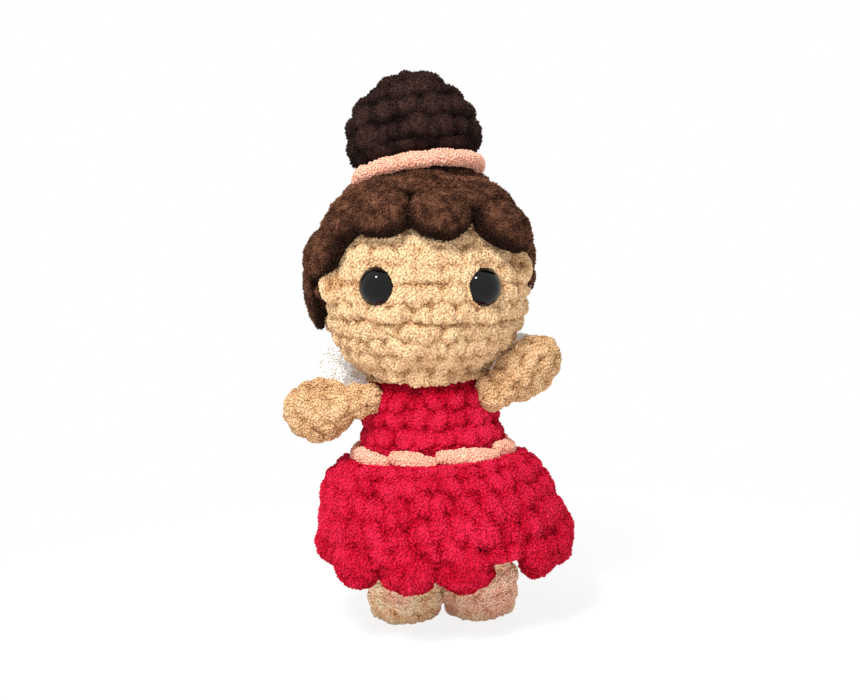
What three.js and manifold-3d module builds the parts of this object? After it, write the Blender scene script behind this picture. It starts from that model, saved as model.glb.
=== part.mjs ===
// A crocheted plush fairy doll, standing on its two feet and facing -Y.
// Lengths are in millimetres and angles in degrees, +Z is up, left and right are the doll's own, and the
// origin lies on the ground under the middle of the whole doll.
import * as THREE from "three";
import { mergeVertices } from "three/addons/utils/BufferGeometryUtils.js";
import Module from "manifold-3d";

const wasm = await Module();
wasm.setup();

const { PI, sin, cos, sqrt, abs, max, min, round } = Math;
const FULL_TURN = 2 * PI;
const radians = THREE.MathUtils.degToRad;
const smooth = THREE.MathUtils.smoothstep;
const mix = THREE.MathUtils.lerp;

// Fabric
const CLEARANCE = 0.3; // left between two pieces that touch
const SOCKET_CLEARANCE = 0.45; // left round the top of a limb that turns
const FABRIC = 5.5; // one layer of crocheted chenille yarn
const LIMB_FABRIC = 4.2; // the tighter layer of the arms and legs

// Head: a stuffed ball with a hole at the neck
const HEAD_RADIUS = 38.5;
const HEAD_HEIGHT = 122.4; // of its centre above the soles
const HEAD_NOD = 5; // chin towards the chest
const HEAD_TILT = 3.3; // crown towards the doll's left
const HEAD_TURN = 4; // face towards the doll's left
const NECK_HOLE_RADIUS = 13;

// Eyes: black domes on a shank, each held by a washer inside the head
const EYE_DIAMETER = 14;
const EYE_DOME_HEIGHT = 5;
const EYE_SINK = 1.6; // of the dome's flat back under the top of the fabric
const EYE_SPREAD = 29.5; // of each eye from the middle of the face
const EYE_LIFT = 3.4; // above the head's centre
const SHANK_DIAMETER = 4.4;
const SHANK_LENGTH = 14;
const WASHER_DIAMETER = 15;
const WASHER_THICKNESS = 1.8;

// Ears
const EAR_HEIGHT = 14;
const EAR_DEPTH = 10;
const EAR_OUT = 3.6; // beyond the head's surface
const EAR_FORWARD = 4; // in front of the head's middle
const EAR_LIFT = 2.5;
const EAR_ROOT = 0.6; // how deep the ear's oval reaches into the head, as a share of how far it stands out

// Hair: a cap over the back and top of the head, whose front edge hangs in four shells
const HAIR_RADIUS = 43.3;
const HAIR_BACK = 1.5; // of the cap's centre behind the head's
const HAIR_UP = 3.6; // of the cap's centre above the head's
const HAIR_NAPE = 138; // all these edges are angles down from the crown
const HAIR_SIDE = 112;
const FRINGE_VALLEY = 60; // where two shells meet, at the middle of the forehead
const FRINGE_SIDE_DROP = 12; // how much lower two shells meet at the temples
const FRINGE_DEPTH = 14; // of a shell below its valleys
const FRINGE_PUFF = 3.2;
const PUFF_SPAN = [0.45, 1.25]; // where the puffs begin and end, as shares of the way to the edge
const TEMPLE = 90; // where the fringe ends, round from the middle of the face
const FRINGE_SHELLS = [
  { at: -63, half: 22, extra: 6 },
  { at: -21, half: 19, extra: 0 },
  { at: 12, half: 16, extra: 2 },
  { at: 47, half: 20, extra: 4 },
];

// Bun, and the band of yarn tied round its foot
const BUN_RADIUS = 25.6;
const BUN_HEIGHT = 38.5; // above the band
const BUN_FOOT_RADIUS = 19.7;
const BUN_LEAN_BACK = 9; // against the head
const BUN_LEAN_RIGHT = 7.5;
const BUN_UP = 42.6; // of the band above the head's centre
const BUN_SHIFT = -2.6; // towards the doll's right
const BAND_WIDTH = 5.6;
const BAND_DEPTH = 4.6;
const BAND_STITCHES = 12;
const STITCH_SWELL = 0.14; // of a chain stitch's section, as a share of it

// Body: a stuffed sack from the hips to the neck, drawn in under the sash
const WAIST_HEIGHT = 61.6;
const HIP_HEIGHT = 38; // of the hip joints above the soles
const CROTCH_RISE = 1; // of the body's underside above the hip joints
const NECK_RADIUS = 21.8;
const SHOULDER_RADIUS = 24.5;
const SHOULDER_HEIGHT = 82;
const CHEST_RADIUS = 28;
const WAIST_RADIUS = 25.8;
const SEAT_RADIUS = 26.8;
const SEAM_YARN = 1.6;

// Sash: one round of chain stitches laid in the drawn-in waist
const SASH_WIDTH = 5.8;
const SASH_DEPTH = 4.4;
const SASH_STITCHES = 11;

// Skirt: a bell whose hem is a round of shells
const SKIRT_TOP_RADIUS = 33.2;
const SKIRT_HEM_RADIUS = 47.4;
const SKIRT_HEM_HEIGHT = 17; // of the shells' lowest points
const SKIRT_SHELLS = 14;
const SHELL_NOTCH = 6.5; // between two shells
const SHELL_PUFF = 1;
const SKIRT_FOLDS = 3; // main folds, besides the shells
const FOLD_DEPTH = 1.5;
const SKIRT_SWAY = 2.4; // of the hem towards the doll's left
const FOLD_TURN = 14; // of the folds round the doll

// Arms: a round bobble at the shoulder and a flat padded paddle
const ARM_BOBBLE_RADIUS = 6;
const ARM_REACH = 31.6; // from the bobble's centre to the tip
const ARM_WIDTH = 23.6;
const ARM_THICKNESS = 15;
const ARM_ROUND = 121; // of the bobbles, round the body from the middle of the back
const ARM_HEIGHT = 83.6;
const ARM_STAND_OFF = 2.2; // of the bobble's centre outside the body's surface
const RIGHT_ARM_POSE = { raise: -10, sweep: 4, twist: 0 }; // sweep turns the tip backwards
const LEFT_ARM_POSE = { raise: 26, sweep: 27, twist: 30 }; // twist turns the upper edge forwards
const ARM_NECK = 4.6; // least radius between the bobble and the paddle
const PADDLE_OVERLAP = 1.2; // of the paddle and the bobble

// Legs: stuffed stubs with a flat sole
const LEG_SPACING = 26.2; // between the two hips
const LEG_FORWARD = 1; // of the hips in front of the body's middle
const LEG_TOP_RADIUS = 12.3;
const FOOT_RADIUS = 12.8;
const FOOT_LENGTH = 28;
const FOOT_HEIGHT = 12; // of its widest round above the sole
const FOOT_CORNER = 4; // higher is boxier
const SOLE_CUT = 0.5; // flattened by the doll's weight

// Wings: an upper and a lower petal on a rolled root, leaning back
const WING_ROOT_SPACING = 11;
const WING_ROOT_HEIGHT = 82;
const WING_ROOT_LENGTH = 13;
const WING_THICKNESS = 6.4;
const WING_LEAN = 22;
const UPPER_PETAL = { length: 42.3, width: 24, raise: 23 };
const LOWER_PETAL = { length: 22, width: 15, raise: -36 };

// Finish of each yarn and of the plastic
const finish = (color, roughness) => new THREE.MeshStandardMaterial({ color, roughness, metalness: 0 });
const SKIN_YARN = finish(0xdfb27c, 0.95);
const HAIR_YARN = finish(0x4a2a1d, 0.95);
const BUN_YARN = finish(0x2f1a14, 0.95);
const DRESS_YARN = finish(0xc8102e, 0.95);
const PINK_YARN = finish(0xefa497, 0.95);
const WING_YARN = finish(0xf4f4f2, 0.95);
const STUFFING = finish(0xf7f7f4, 1);
const EYE_PLASTIC = finish(0x08080a, 0.08);
const WASHER_PLASTIC = finish(0xe6e6e2, 0.4);

// A three.js geometry as a solid that can be joined and cut.
function solidOf(geometry) {
  const bare = new THREE.BufferGeometry();
  bare.setAttribute("position", geometry.getAttribute("position"));
  bare.setIndex(geometry.getIndex());
  const merged = mergeVertices(bare, 1e-4);
  const vertProperties = merged.getAttribute("position").array;
  const triVerts = new Uint32Array(merged.getIndex().array);
  const made = new wasm.Manifold(new wasm.Mesh({ numProp: 3, vertProperties, triVerts }));
  return made.volume() > 0 ? made : turnedRound(vertProperties, triVerts);
}

// The same mesh with the other side of each face showing.
function turnedRound(vertProperties, triVerts) {
  const flipped = triVerts.slice();
  for (let i = 0; i < flipped.length; i += 3) {
    flipped[i + 1] = triVerts[i + 2];
    flipped[i + 2] = triVerts[i + 1];
  }
  return new wasm.Manifold(new wasm.Mesh({ numProp: 3, vertProperties, triVerts: flipped }));
}

// A named mesh of a finished solid.
function meshOf(name, solid, material) {
  const cut = solid.getMesh();
  const geometry = new THREE.BufferGeometry();
  geometry.setAttribute("position", new THREE.BufferAttribute(Float32Array.from(cut.vertProperties), 3));
  geometry.setIndex(new THREE.BufferAttribute(Uint32Array.from(cut.triVerts), 1));
  geometry.computeVertexNormals();
  const mesh = new THREE.Mesh(geometry, material);
  mesh.name = name;
  return mesh;
}

// A closed skin from a grid of points: point(angle, step) for each column round and each row down.
// The first and the last row shrink to one point each.
function closedSkin(columns, rows, point) {
  const corners = [point(0, 0)];
  for (let row = 1; row < rows; row++) {
    for (let column = 0; column < columns; column++) {
      corners.push(point((FULL_TURN * column) / columns, row / rows));
    }
  }
  corners.push(point(0, 1));
  const last = corners.length - 1;
  const at = (row, column) => 1 + (row - 1) * columns + (column % columns);
  const faces = [];
  for (let column = 0; column < columns; column++) {
    faces.push(0, at(1, column), at(1, column + 1));
    faces.push(last, at(rows - 1, column + 1), at(rows - 1, column));
  }
  for (let row = 1; row < rows - 1; row++) {
    for (let column = 0; column < columns; column++) {
      faces.push(at(row, column), at(row + 1, column), at(row + 1, column + 1));
      faces.push(at(row, column), at(row + 1, column + 1), at(row, column + 1));
    }
  }
  return gridGeometry(corners, faces);
}

// A closed ring from a grid of points: point(angle, place) for each column round and each of its section's
// places, which run once round the section.
function closedRing(columns, places, point) {
  const corners = [];
  for (let column = 0; column < columns; column++) {
    for (let place = 0; place < places; place++) {
      corners.push(point((FULL_TURN * column) / columns, place / places));
    }
  }
  const at = (column, place) => (column % columns) * places + (place % places);
  const faces = [];
  for (let column = 0; column < columns; column++) {
    for (let place = 0; place < places; place++) {
      faces.push(at(column, place), at(column + 1, place), at(column + 1, place + 1));
      faces.push(at(column, place), at(column + 1, place + 1), at(column, place + 1));
    }
  }
  return gridGeometry(corners, faces);
}

function gridGeometry(corners, faces) {
  const geometry = new THREE.BufferGeometry().setFromPoints(corners);
  geometry.setIndex(faces);
  return geometry;
}

// A direction from the angle round from the middle of the face, towards the doll's left, and the angle down
// from the crown.
function facing(around, down) {
  return new THREE.Vector3(sin(down) * sin(around), -sin(down) * cos(around), cos(down));
}

// A ball as a solid, its columns and rows shared by the pieces that fit round it.
const BALL_COLUMNS = 28;
const BALL_ROWS = 16;
function ball(radius, columns = BALL_COLUMNS, rows = BALL_ROWS) {
  return solidOf(closedSkin(columns, rows, (angle, step) => facing(angle, PI * step).multiplyScalar(radius)));
}

// A straight round bar along +Z from one height to another.
function bar(radius, from, to, sides = 16) {
  const geometry = new THREE.CylinderGeometry(radius, radius, to - from, sides);
  geometry.rotateX(PI / 2).translate(0, 0, (from + to) / 2);
  return solidOf(geometry);
}

// A lobe along +X, from its start to its end, with an elliptical section: half(x) gives half its width
// along Z and half its thickness along Y.
function lobe(start, end, half, columns, rows) {
  const point = (angle, step) => {
    const x = mix(start, end, (1 - cos(PI * step)) / 2);
    const [width, thickness] = half(x);
    return new THREE.Vector3(x, thickness * sin(angle), width * cos(angle));
  };
  return solidOf(closedSkin(columns, rows, point));
}

// Half of an ellipse's width at one place along it.
function ellipse(x, centre, halfLength, halfWidth) {
  return halfWidth * sqrt(max(0, 1 - ((x - centre) / halfLength) ** 2));
}

// A solid moved by a three.js matrix.
function placed(solid, matrix) {
  return solid.transform(matrix.elements.slice());
}

const moved = (solid, x, y, z) => placed(solid, new THREE.Matrix4().makeTranslation(x, y, z));

// HEAD, in the head's own frame: its centre at the origin and the face towards -Y.

const innerHeadRadius = HEAD_RADIUS - FABRIC;
const neckRoom = bar(NECK_HOLE_RADIUS, -HEAD_RADIUS - FABRIC, 0, 20);

// The place and direction of one eye: +Z of this frame points out of the face.
function eyeFrame(side) {
  const down = PI / 2 - Math.asin(EYE_LIFT / HEAD_RADIUS);
  const out = facing(side * radians(EYE_SPREAD), down);
  const turn = new THREE.Quaternion().setFromUnitVectors(new THREE.Vector3(0, 0, 1), out);
  return new THREE.Matrix4().makeRotationFromQuaternion(turn);
}

const eyeBack = HEAD_RADIUS - EYE_SINK;
const washerSag = innerHeadRadius - sqrt(innerHeadRadius ** 2 - (WASHER_DIAMETER / 2) ** 2);
const washerFace = innerHeadRadius - washerSag;

// A dome that is part of a ball, on its shank, grown by a margin where it serves as a cutter.
function eyeSolid(margin) {
  const rim = EYE_DIAMETER / 2;
  const domeRadius = (rim ** 2 + EYE_DOME_HEIGHT ** 2) / (2 * EYE_DOME_HEIGHT);
  const profile = [new THREE.Vector2(0, eyeBack - margin)];
  const steps = 6;
  for (let step = 0; step <= steps; step++) {
    const height = (EYE_DOME_HEIGHT * step) / steps;
    const across = sqrt(max(0, domeRadius ** 2 - (height + domeRadius - EYE_DOME_HEIGHT) ** 2));
    if (step === 0) profile.push(new THREE.Vector2(rim + margin, eyeBack - margin));
    profile.push(new THREE.Vector2(step === steps ? 0 : across + margin, eyeBack + height + margin));
  }
  const dome = solidOf(new THREE.LatheGeometry(profile, 20).rotateX(PI / 2));
  return dome.add(bar(SHANK_DIAMETER / 2 + margin, eyeBack - SHANK_LENGTH - margin, eyeBack + 0.5));
}

function washerSolid() {
  const disc = bar(WASHER_DIAMETER / 2, washerFace - WASHER_THICKNESS, washerFace, 20);
  return disc.subtract(bar(SHANK_DIAMETER / 2 + CLEARANCE, 0, HEAD_RADIUS));
}

// The filling lies round and behind the washer, which lies against the fabric.
function washerRoom() {
  return bar(WASHER_DIAMETER / 2 + CLEARANCE, washerFace - WASHER_THICKNESS - CLEARANCE, HEAD_RADIUS, 20);
}

// Each washer presses the inside of the fabric flat.
function headShell() {
  const bored = ball(HEAD_RADIUS).subtract(ball(innerHeadRadius, 18, 10)).subtract(neckRoom);
  const seatRadius = WASHER_DIAMETER / 2 + CLEARANCE;
  const seat = bar(seatRadius, washerFace - WASHER_THICKNESS, washerFace + CLEARANCE, 20);
  const room = eyeSolid(CLEARANCE).add(seat);
  return bored.subtract(placed(room, eyeFrame(1))).subtract(placed(room, eyeFrame(-1)));
}

// The filling also comes down into the neck hole, as far as the fabric's outer face.
function headStuffing() {
  const neck = bar(NECK_HOLE_RADIUS - CLEARANCE, -HEAD_RADIUS, 0, 20).intersect(ball(HEAD_RADIUS));
  const filling = ball(innerHeadRadius - CLEARANCE, 18, 10).add(neck);
  const pocket = eyeSolid(CLEARANCE).add(washerRoom());
  return filling.subtract(placed(pocket, eyeFrame(1))).subtract(placed(pocket, eyeFrame(-1)));
}

function ear(side) {
  const out = (angle, step) => {
    const way = facing(angle, PI * step);
    return way.multiply(new THREE.Vector3(EAR_OUT * (1 + EAR_ROOT), EAR_DEPTH / 2, EAR_HEIGHT / 2));
  };
  const reach = sqrt(HEAD_RADIUS ** 2 - EAR_FORWARD ** 2) - EAR_OUT * EAR_ROOT;
  const whole = moved(solidOf(closedSkin(14, 10, out)), side * reach, -EAR_FORWARD, EAR_LIFT);
  return whole.subtract(ball(HEAD_RADIUS + CLEARANCE));
}

// HAIR, in the head's frame.

// How far one of the fringe's shells reaches at an angle round the face, from 0 to 1.
function shellShare(around, shell) {
  const across = (around - radians(shell.at)) / radians(shell.half);
  return sqrt(max(0, 1 - across ** 2));
}

// The angle from the crown at which the cap ends.
function hairEdge(around) {
  const away = abs(around);
  const valley = radians(FRINGE_VALLEY + FRINGE_SIDE_DROP * smooth(away, 0, radians(TEMPLE)));
  const depths = FRINGE_SHELLS.map((shell) => shellShare(around, shell) * (FRINGE_DEPTH + shell.extra));
  const fringe = valley + radians(max(...depths));
  const behind = radians(mix(HAIR_SIDE, HAIR_NAPE, smooth(away, radians(TEMPLE), PI)));
  return mix(fringe, behind, smooth(away, radians(TEMPLE - 4), radians(TEMPLE + 4)));
}

// The fringe's shells stand out from the cap as puffs.
function hairPuff(around, share) {
  const most = max(...FRINGE_SHELLS.map((shell) => shellShare(around, shell)));
  return FRINGE_PUFF * most * sin(PI * smooth(share, ...PUFF_SPAN));
}

const hairCentre = new THREE.Vector3(0, HAIR_BACK, HAIR_UP);

// Rows run from the crown to the edge on the outside, then back to the crown inside.
function hairCap() {
  const edgeShare = 0.62;
  const inside = HEAD_RADIUS - FABRIC / 2;
  const point = (angle, step) => {
    const around = angle > PI ? angle - FULL_TURN : angle;
    const share = step < edgeShare ? step / edgeShare : (1 - step) / (1 - edgeShare);
    const way = facing(around, hairEdge(around) * share);
    const outer = way.clone().multiplyScalar(HAIR_RADIUS + hairPuff(around, share)).add(hairCentre);
    return step <= edgeShare ? outer : outer.setLength(inside);
  };
  return solidOf(closedSkin(52, 16, point)).subtract(ball(HEAD_RADIUS + CLEARANCE));
}

const hairBall = moved(ball(HAIR_RADIUS + CLEARANCE, 28, 18), hairCentre.x, hairCentre.y, hairCentre.z);

// BUN, in its own frame: the band's centre at the origin, +Z to the top of the bun.

const bunFrame = new THREE.Matrix4().makeRotationFromEuler(
  new THREE.Euler(-radians(BUN_LEAN_BACK), -radians(BUN_LEAN_RIGHT), 0),
);
bunFrame.setPosition(BUN_SHIFT, HAIR_BACK, BUN_UP);
const hairBelow = placed(hairBall, bunFrame.clone().invert());

// A dome on a short wall that is drawn in at the band; inset gives the same form one layer further in.
function bunForm(inset, columns, rows) {
  const foot = -BAND_WIDTH;
  const shoulder = BUN_HEIGHT - BUN_RADIUS;
  const point = (angle, step) => {
    const dome = step < 0.6;
    const down = (PI / 2) * (step / 0.6);
    const wallShare = (step - 0.6) / 0.4;
    const z = dome ? shoulder + (BUN_RADIUS - inset) * cos(down) : mix(shoulder, foot, wallShare);
    const tied = smooth(z, BAND_WIDTH * 0.45, BAND_WIDTH * 1.15);
    const wall = mix(BUN_FOOT_RADIUS, BUN_RADIUS - 1.2 * (1 - smooth(z, 0, shoulder)), tied) - inset;
    const radius = dome ? (BUN_RADIUS - inset) * sin(down) : wall;
    return new THREE.Vector3(radius * cos(angle), radius * sin(angle), step === 1 ? foot : z);
  };
  const capped = (angle, step) => (step === 1 ? new THREE.Vector3(0, 0, foot) : point(angle, step));
  return solidOf(closedSkin(columns, rows, capped));
}

function bunShell() {
  const core = bunForm(FABRIC, 12, 8).add(bar(BUN_FOOT_RADIUS - FABRIC, -2 * BUN_RADIUS, 0, 12));
  return bunForm(0, 22, 14).subtract(core).subtract(hairBelow);
}

function bunStuffing() {
  return bunForm(FABRIC + CLEARANCE, 12, 8).subtract(hairBelow);
}

// A round of stitches: a ring with an oval section that swells once for each stitch.
function stitchRing(radius, depth, width, stitches) {
  const columns = stitches * 4;
  const point = (angle, place) => {
    const swell = 1 - STITCH_SWELL * (1 - abs(sin((angle * stitches) / 2)));
    const out = radius + (depth / 2) * swell * cos(place * FULL_TURN);
    const up = (width / 2) * swell * sin(place * FULL_TURN);
    return new THREE.Vector3(out * cos(angle), out * sin(angle), up);
  };
  return solidOf(closedRing(columns, 5, point));
}

function hairBand() {
  const radius = BUN_FOOT_RADIUS + CLEARANCE + BAND_DEPTH / 2;
  return stitchRing(radius, BAND_DEPTH, BAND_WIDTH, BAND_STITCHES).subtract(hairBelow);
}

// BODY, in the doll's frame with the soles at height 0.

const crotchHeight = HIP_HEIGHT + CROTCH_RISE;
const chestHeight = WAIST_HEIGHT + SASH_WIDTH * 0.85;
const seatHeight = WAIST_HEIGHT - SASH_WIDTH * 1.6;
const neckHeight = HEAD_HEIGHT - sqrt(HEAD_RADIUS ** 2 - NECK_RADIUS ** 2);

// The body's outline from the neck down, as distances from its axis against heights.
const bodyOutline = new THREE.SplineCurve([
  new THREE.Vector2(NECK_RADIUS - 1.5, neckHeight + 5),
  new THREE.Vector2(NECK_RADIUS, neckHeight),
  new THREE.Vector2(SHOULDER_RADIUS, SHOULDER_HEIGHT),
  new THREE.Vector2(mix(SHOULDER_RADIUS, CHEST_RADIUS, 0.55), mix(SHOULDER_HEIGHT, chestHeight, 0.68)),
  new THREE.Vector2(CHEST_RADIUS, chestHeight),
  new THREE.Vector2(WAIST_RADIUS, WAIST_HEIGHT),
  new THREE.Vector2(SEAT_RADIUS, seatHeight),
  new THREE.Vector2(SEAT_RADIUS * 0.93, mix(crotchHeight, seatHeight, 0.4)),
  new THREE.Vector2(SEAT_RADIUS * 0.7, mix(crotchHeight, seatHeight, 0.08)),
]);
const OUTLINE_SAMPLES = bodyOutline.getPoints(120);

// The body's radius at a height.
function bodyRadius(height) {
  const below = OUTLINE_SAMPLES.findIndex((sample) => sample.y <= height);
  const high = OUTLINE_SAMPLES[max(0, below - 1)];
  const low = OUTLINE_SAMPLES[below < 0 ? OUTLINE_SAMPLES.length - 1 : below];
  if (high === low) return high.x;
  return mix(low.x, high.x, (height - low.y) / (high.y - low.y));
}

function bodyForm(inset, columns, rows) {
  const profile = bodyOutline.getPoints(rows).map((place) => new THREE.Vector2(place.x - inset, place.y));
  const top = profile[0].y;
  const bottom = crotchHeight + inset;
  const closed = profile.filter((place) => place.y > bottom + 0.2);
  const outline = [new THREE.Vector2(0, top), ...closed, new THREE.Vector2(0, bottom)];
  return solidOf(new THREE.LatheGeometry(outline, columns).rotateX(PI / 2));
}

// Frames of the head, the shoulders, the hips and the wing roots in the doll's frame.
const headFrame = new THREE.Matrix4().makeRotationFromEuler(
  new THREE.Euler(radians(HEAD_NOD), radians(HEAD_TILT), radians(HEAD_TURN), "ZYX"),
);
headFrame.setPosition(0, 0, HEAD_HEIGHT);

function shoulderFrame(side, { raise, sweep, twist }) {
  const out = bodyRadius(ARM_HEIGHT) + ARM_STAND_OFF;
  const back = radians(ARM_ROUND);
  const aim = new THREE.Euler(radians(twist), -radians(raise), radians(sweep), "ZYX");
  const frame = new THREE.Matrix4().makeRotationFromEuler(aim);
  if (side < 0) frame.premultiply(new THREE.Matrix4().makeScale(-1, 1, 1)).scale(new THREE.Vector3(1, -1, 1));
  return frame.setPosition(side * out * sin(back), out * cos(back), ARM_HEIGHT);
}

const rightShoulder = shoulderFrame(-1, RIGHT_ARM_POSE);
const leftShoulder = shoulderFrame(1, LEFT_ARM_POSE);

const hipFrame = (side) =>
  new THREE.Matrix4().makeTranslation((side * LEG_SPACING) / 2, -LEG_FORWARD, HIP_HEIGHT);

// Room in the body for the head that rests on it, the arms' bobbles and the tops of the legs.
function bodyRoom(arm, leg) {
  return placed(ball(HEAD_RADIUS + CLEARANCE), headFrame)
    .add(placed(arm, rightShoulder))
    .add(placed(arm, leftShoulder))
    .add(placed(leg, hipFrame(-1)))
    .add(placed(leg, hipFrame(1)));
}

// The shell is open at the neck, where the filling meets the head's.
function bodyShell() {
  const neck = bar(NECK_HOLE_RADIUS, SHOULDER_HEIGHT, HEAD_HEIGHT, 20);
  const armSocket = ball(ARM_BOBBLE_RADIUS + SOCKET_CLEARANCE, 14, 10);
  const legSocket = ball(LEG_TOP_RADIUS + SOCKET_CLEARANCE, 20, 12);
  return bodyForm(0, 28, 18)
    .subtract(bodyForm(FABRIC, 14, 10))
    .subtract(neck)
    .subtract(bodyRoom(armSocket, legSocket));
}

function bodyStuffing() {
  const neck = bar(NECK_HOLE_RADIUS - CLEARANCE, SHOULDER_HEIGHT, HEAD_HEIGHT, 20);
  const lining = LIMB_FABRIC / 2;
  const room = bodyRoom(ball(ARM_BOBBLE_RADIUS + lining, 10, 8), ball(LEG_TOP_RADIUS + lining, 12, 8));
  return bodyForm(FABRIC + CLEARANCE, 14, 10).add(neck).subtract(room);
}

// The yarn that sews the head on lies in the corner between the body and the head.
function neckSeam() {
  const half = SEAM_YARN / 2;
  const radius = bodyRadius(neckHeight - SEAM_YARN) + CLEARANCE + half;
  const height = HEAD_HEIGHT - sqrt((HEAD_RADIUS + 1.5 * CLEARANCE + half) ** 2 - radius ** 2);
  const ring = closedRing(30, 5, (angle, place) => {
    const out = radius + half * cos(place * FULL_TURN);
    return new THREE.Vector3(out * cos(angle), out * sin(angle), half * sin(place * FULL_TURN));
  });
  return moved(solidOf(ring), 0, 0, height);
}

function sash() {
  const radius = WAIST_RADIUS + CLEARANCE + SASH_DEPTH / 2;
  return moved(stitchRing(radius, SASH_DEPTH, SASH_WIDTH, SASH_STITCHES), 0, 0, WAIST_HEIGHT);
}

// SKIRT, in the doll's frame.

const skirtShoulder = WAIST_HEIGHT - 0.6;

// A place on the bell's outline, from shares of the way out and of the way down to the hem.
const skirtPlace = (out, down) =>
  new THREE.Vector2(mix(SKIRT_TOP_RADIUS, SKIRT_HEM_RADIUS, out), mix(skirtShoulder, SKIRT_HEM_HEIGHT, down));
const skirtOutline = new THREE.SplineCurve([
  skirtPlace(0, 0),
  skirtPlace(0.38, 0.13),
  skirtPlace(0.7, 0.34),
  skirtPlace(0.94, 0.62),
  skirtPlace(1, 0.84),
  skirtPlace(0.93, 1),
]);

// Where an angle lies across one of the hem's shells, from -1 to 1.
function acrossShell(angle) {
  const turns = (angle / FULL_TURN) * SKIRT_SHELLS;
  return 2 * (turns - round(turns));
}

// The bell's outer face: share runs from the top to the hem.
function skirtPoint(angle, share, inset) {
  const place = skirtOutline.getPoint(share);
  const across = acrossShell(angle);
  const shell = sqrt(max(0, 1 - across ** 2));
  const lowered = smooth(share, 0.25, 1);
  const fold = FOLD_DEPTH * lowered * cos(SKIRT_FOLDS * (angle + radians(FOLD_TURN)));
  const puff = SHELL_PUFF * shell * smooth(share, 0.6, 0.9);
  const radius = place.x + fold + puff - inset;
  const notch = SHELL_NOTCH * (1 - shell) * smooth(share, 0.55, 1);
  const x = radius * cos(angle) + SKIRT_SWAY * lowered;
  return new THREE.Vector3(x, radius * sin(angle), place.y + notch);
}

// The section runs down the outside to the hem, up the inside, and over the top under the sash.
function skirt() {
  const outerRows = 8;
  const innerRows = 5;
  const places = outerRows + innerRows + 2;
  const topInner = bodyRadius(WAIST_HEIGHT - SASH_WIDTH) + CLEARANCE;
  const underSash = WAIST_HEIGHT - SASH_WIDTH / 2 - CLEARANCE;
  const point = (angle, step) => {
    const place = round(step * places);
    if (place <= outerRows) return skirtPoint(angle, place / outerRows, 0);
    if (place <= outerRows + innerRows) {
      const up = (place - outerRows - 1) / innerRows;
      return skirtPoint(angle, mix(1, 0.24, up), FABRIC).add(new THREE.Vector3(0, 0, up ? 0 : 1));
    }
    return new THREE.Vector3(topInner * cos(angle), topInner * sin(angle), underSash - FABRIC * 0.2);
  };
  const bell = solidOf(closedRing(SKIRT_SHELLS * 5, places, point));
  return bell.subtract(sashRoom()).subtract(bodyForm(-CLEARANCE, 28, 18));
}

// A smooth ring round the sash and its clearance.
function sashRoom() {
  const radius = WAIST_RADIUS + SASH_DEPTH / 2;
  const halfDepth = SASH_DEPTH / 2 + 2 * CLEARANCE;
  const halfWidth = SASH_WIDTH / 2 + CLEARANCE;
  const ring = closedRing(48, 10, (angle, place) => {
    const out = radius + halfDepth * cos(place * FULL_TURN);
    return new THREE.Vector3(out * cos(angle), out * sin(angle), halfWidth * sin(place * FULL_TURN));
  });
  return moved(solidOf(ring), 0, 0, WAIST_HEIGHT);
}

// ARM, in the shoulder's frame: the bobble's centre at the origin and the arm along +X.

function armForm(inset, columns, rows) {
  const middle = (ARM_REACH + ARM_BOBBLE_RADIUS - PADDLE_OVERLAP) / 2;
  const halfLength = ARM_REACH - middle - inset;
  const bobble = ARM_BOBBLE_RADIUS - inset;
  const half = (x) => {
    const rounded = ellipse(x, 0, bobble, bobble);
    const inNeck = x > 0 && x < middle ? min(ARM_NECK - inset, bobble) : 0;
    const width = ellipse(x, middle, halfLength, ARM_WIDTH / 2 - inset);
    const thickness = ellipse(x, middle, halfLength, ARM_THICKNESS / 2 - inset);
    return [max(rounded, inNeck, width), max(rounded, inNeck, thickness)];
  };
  return lobe(-bobble, ARM_REACH - inset, half, columns, rows);
}

// The filling fills the paddle, and the bobble is open towards the body where it is sewn on.
function armShell() {
  const tunnel = placed(
    bar(ARM_BOBBLE_RADIUS - LIMB_FABRIC, -2 * ARM_BOBBLE_RADIUS, ARM_REACH / 2, 8),
    new THREE.Matrix4().makeRotationY(PI / 2),
  );
  return armForm(0, 14, 14).subtract(armCore(0)).subtract(tunnel);
}

function armCore(margin) {
  const middle = (ARM_REACH + ARM_BOBBLE_RADIUS) / 2;
  const inset = LIMB_FABRIC + margin;
  const halfLength = ARM_REACH - middle - inset;
  const half = (x) => [
    ellipse(x, middle, halfLength, ARM_WIDTH / 2 - inset),
    ellipse(x, middle, halfLength, ARM_THICKNESS / 2 - inset),
  ];
  return lobe(middle - halfLength, middle + halfLength, half, 10, 6);
}

// LEG, in the hip's frame: the hip at the origin and the leg down -Z.

// A round top, a straight shank and a wider foot whose underside is a rounded box, pressed flat.
function legForm(inset, columns, rows) {
  const widest = FOOT_HEIGHT - HIP_HEIGHT;
  const under = FOOT_HEIGHT + SOLE_CUT - inset;
  const point = (angle, step) => {
    const part = step * 3;
    const down = (PI / 2) * part;
    const topRadius = LEG_TOP_RADIUS - inset;
    const footX = FOOT_RADIUS - inset;
    const footY = FOOT_LENGTH / 2 - inset;
    if (part <= 1) return facing(angle, down).multiplyScalar(topRadius);
    if (part <= 2) {
      const share = smooth(part, 1.3, 2);
      const way = facing(angle, PI / 2);
      return new THREE.Vector3(
        way.x * mix(topRadius, footX, share),
        way.y * mix(topRadius, footY, share),
        mix(0, widest, part - 1),
      );
    }
    const share = cos((PI / 2) * (part - 2));
    const depth = (1 - share ** FOOT_CORNER) ** (1 / FOOT_CORNER);
    const way = facing(angle, PI / 2);
    return new THREE.Vector3(way.x * footX * share, way.y * footY * share, widest - under * depth);
  };
  return solidOf(closedSkin(columns, rows, point));
}

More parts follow.
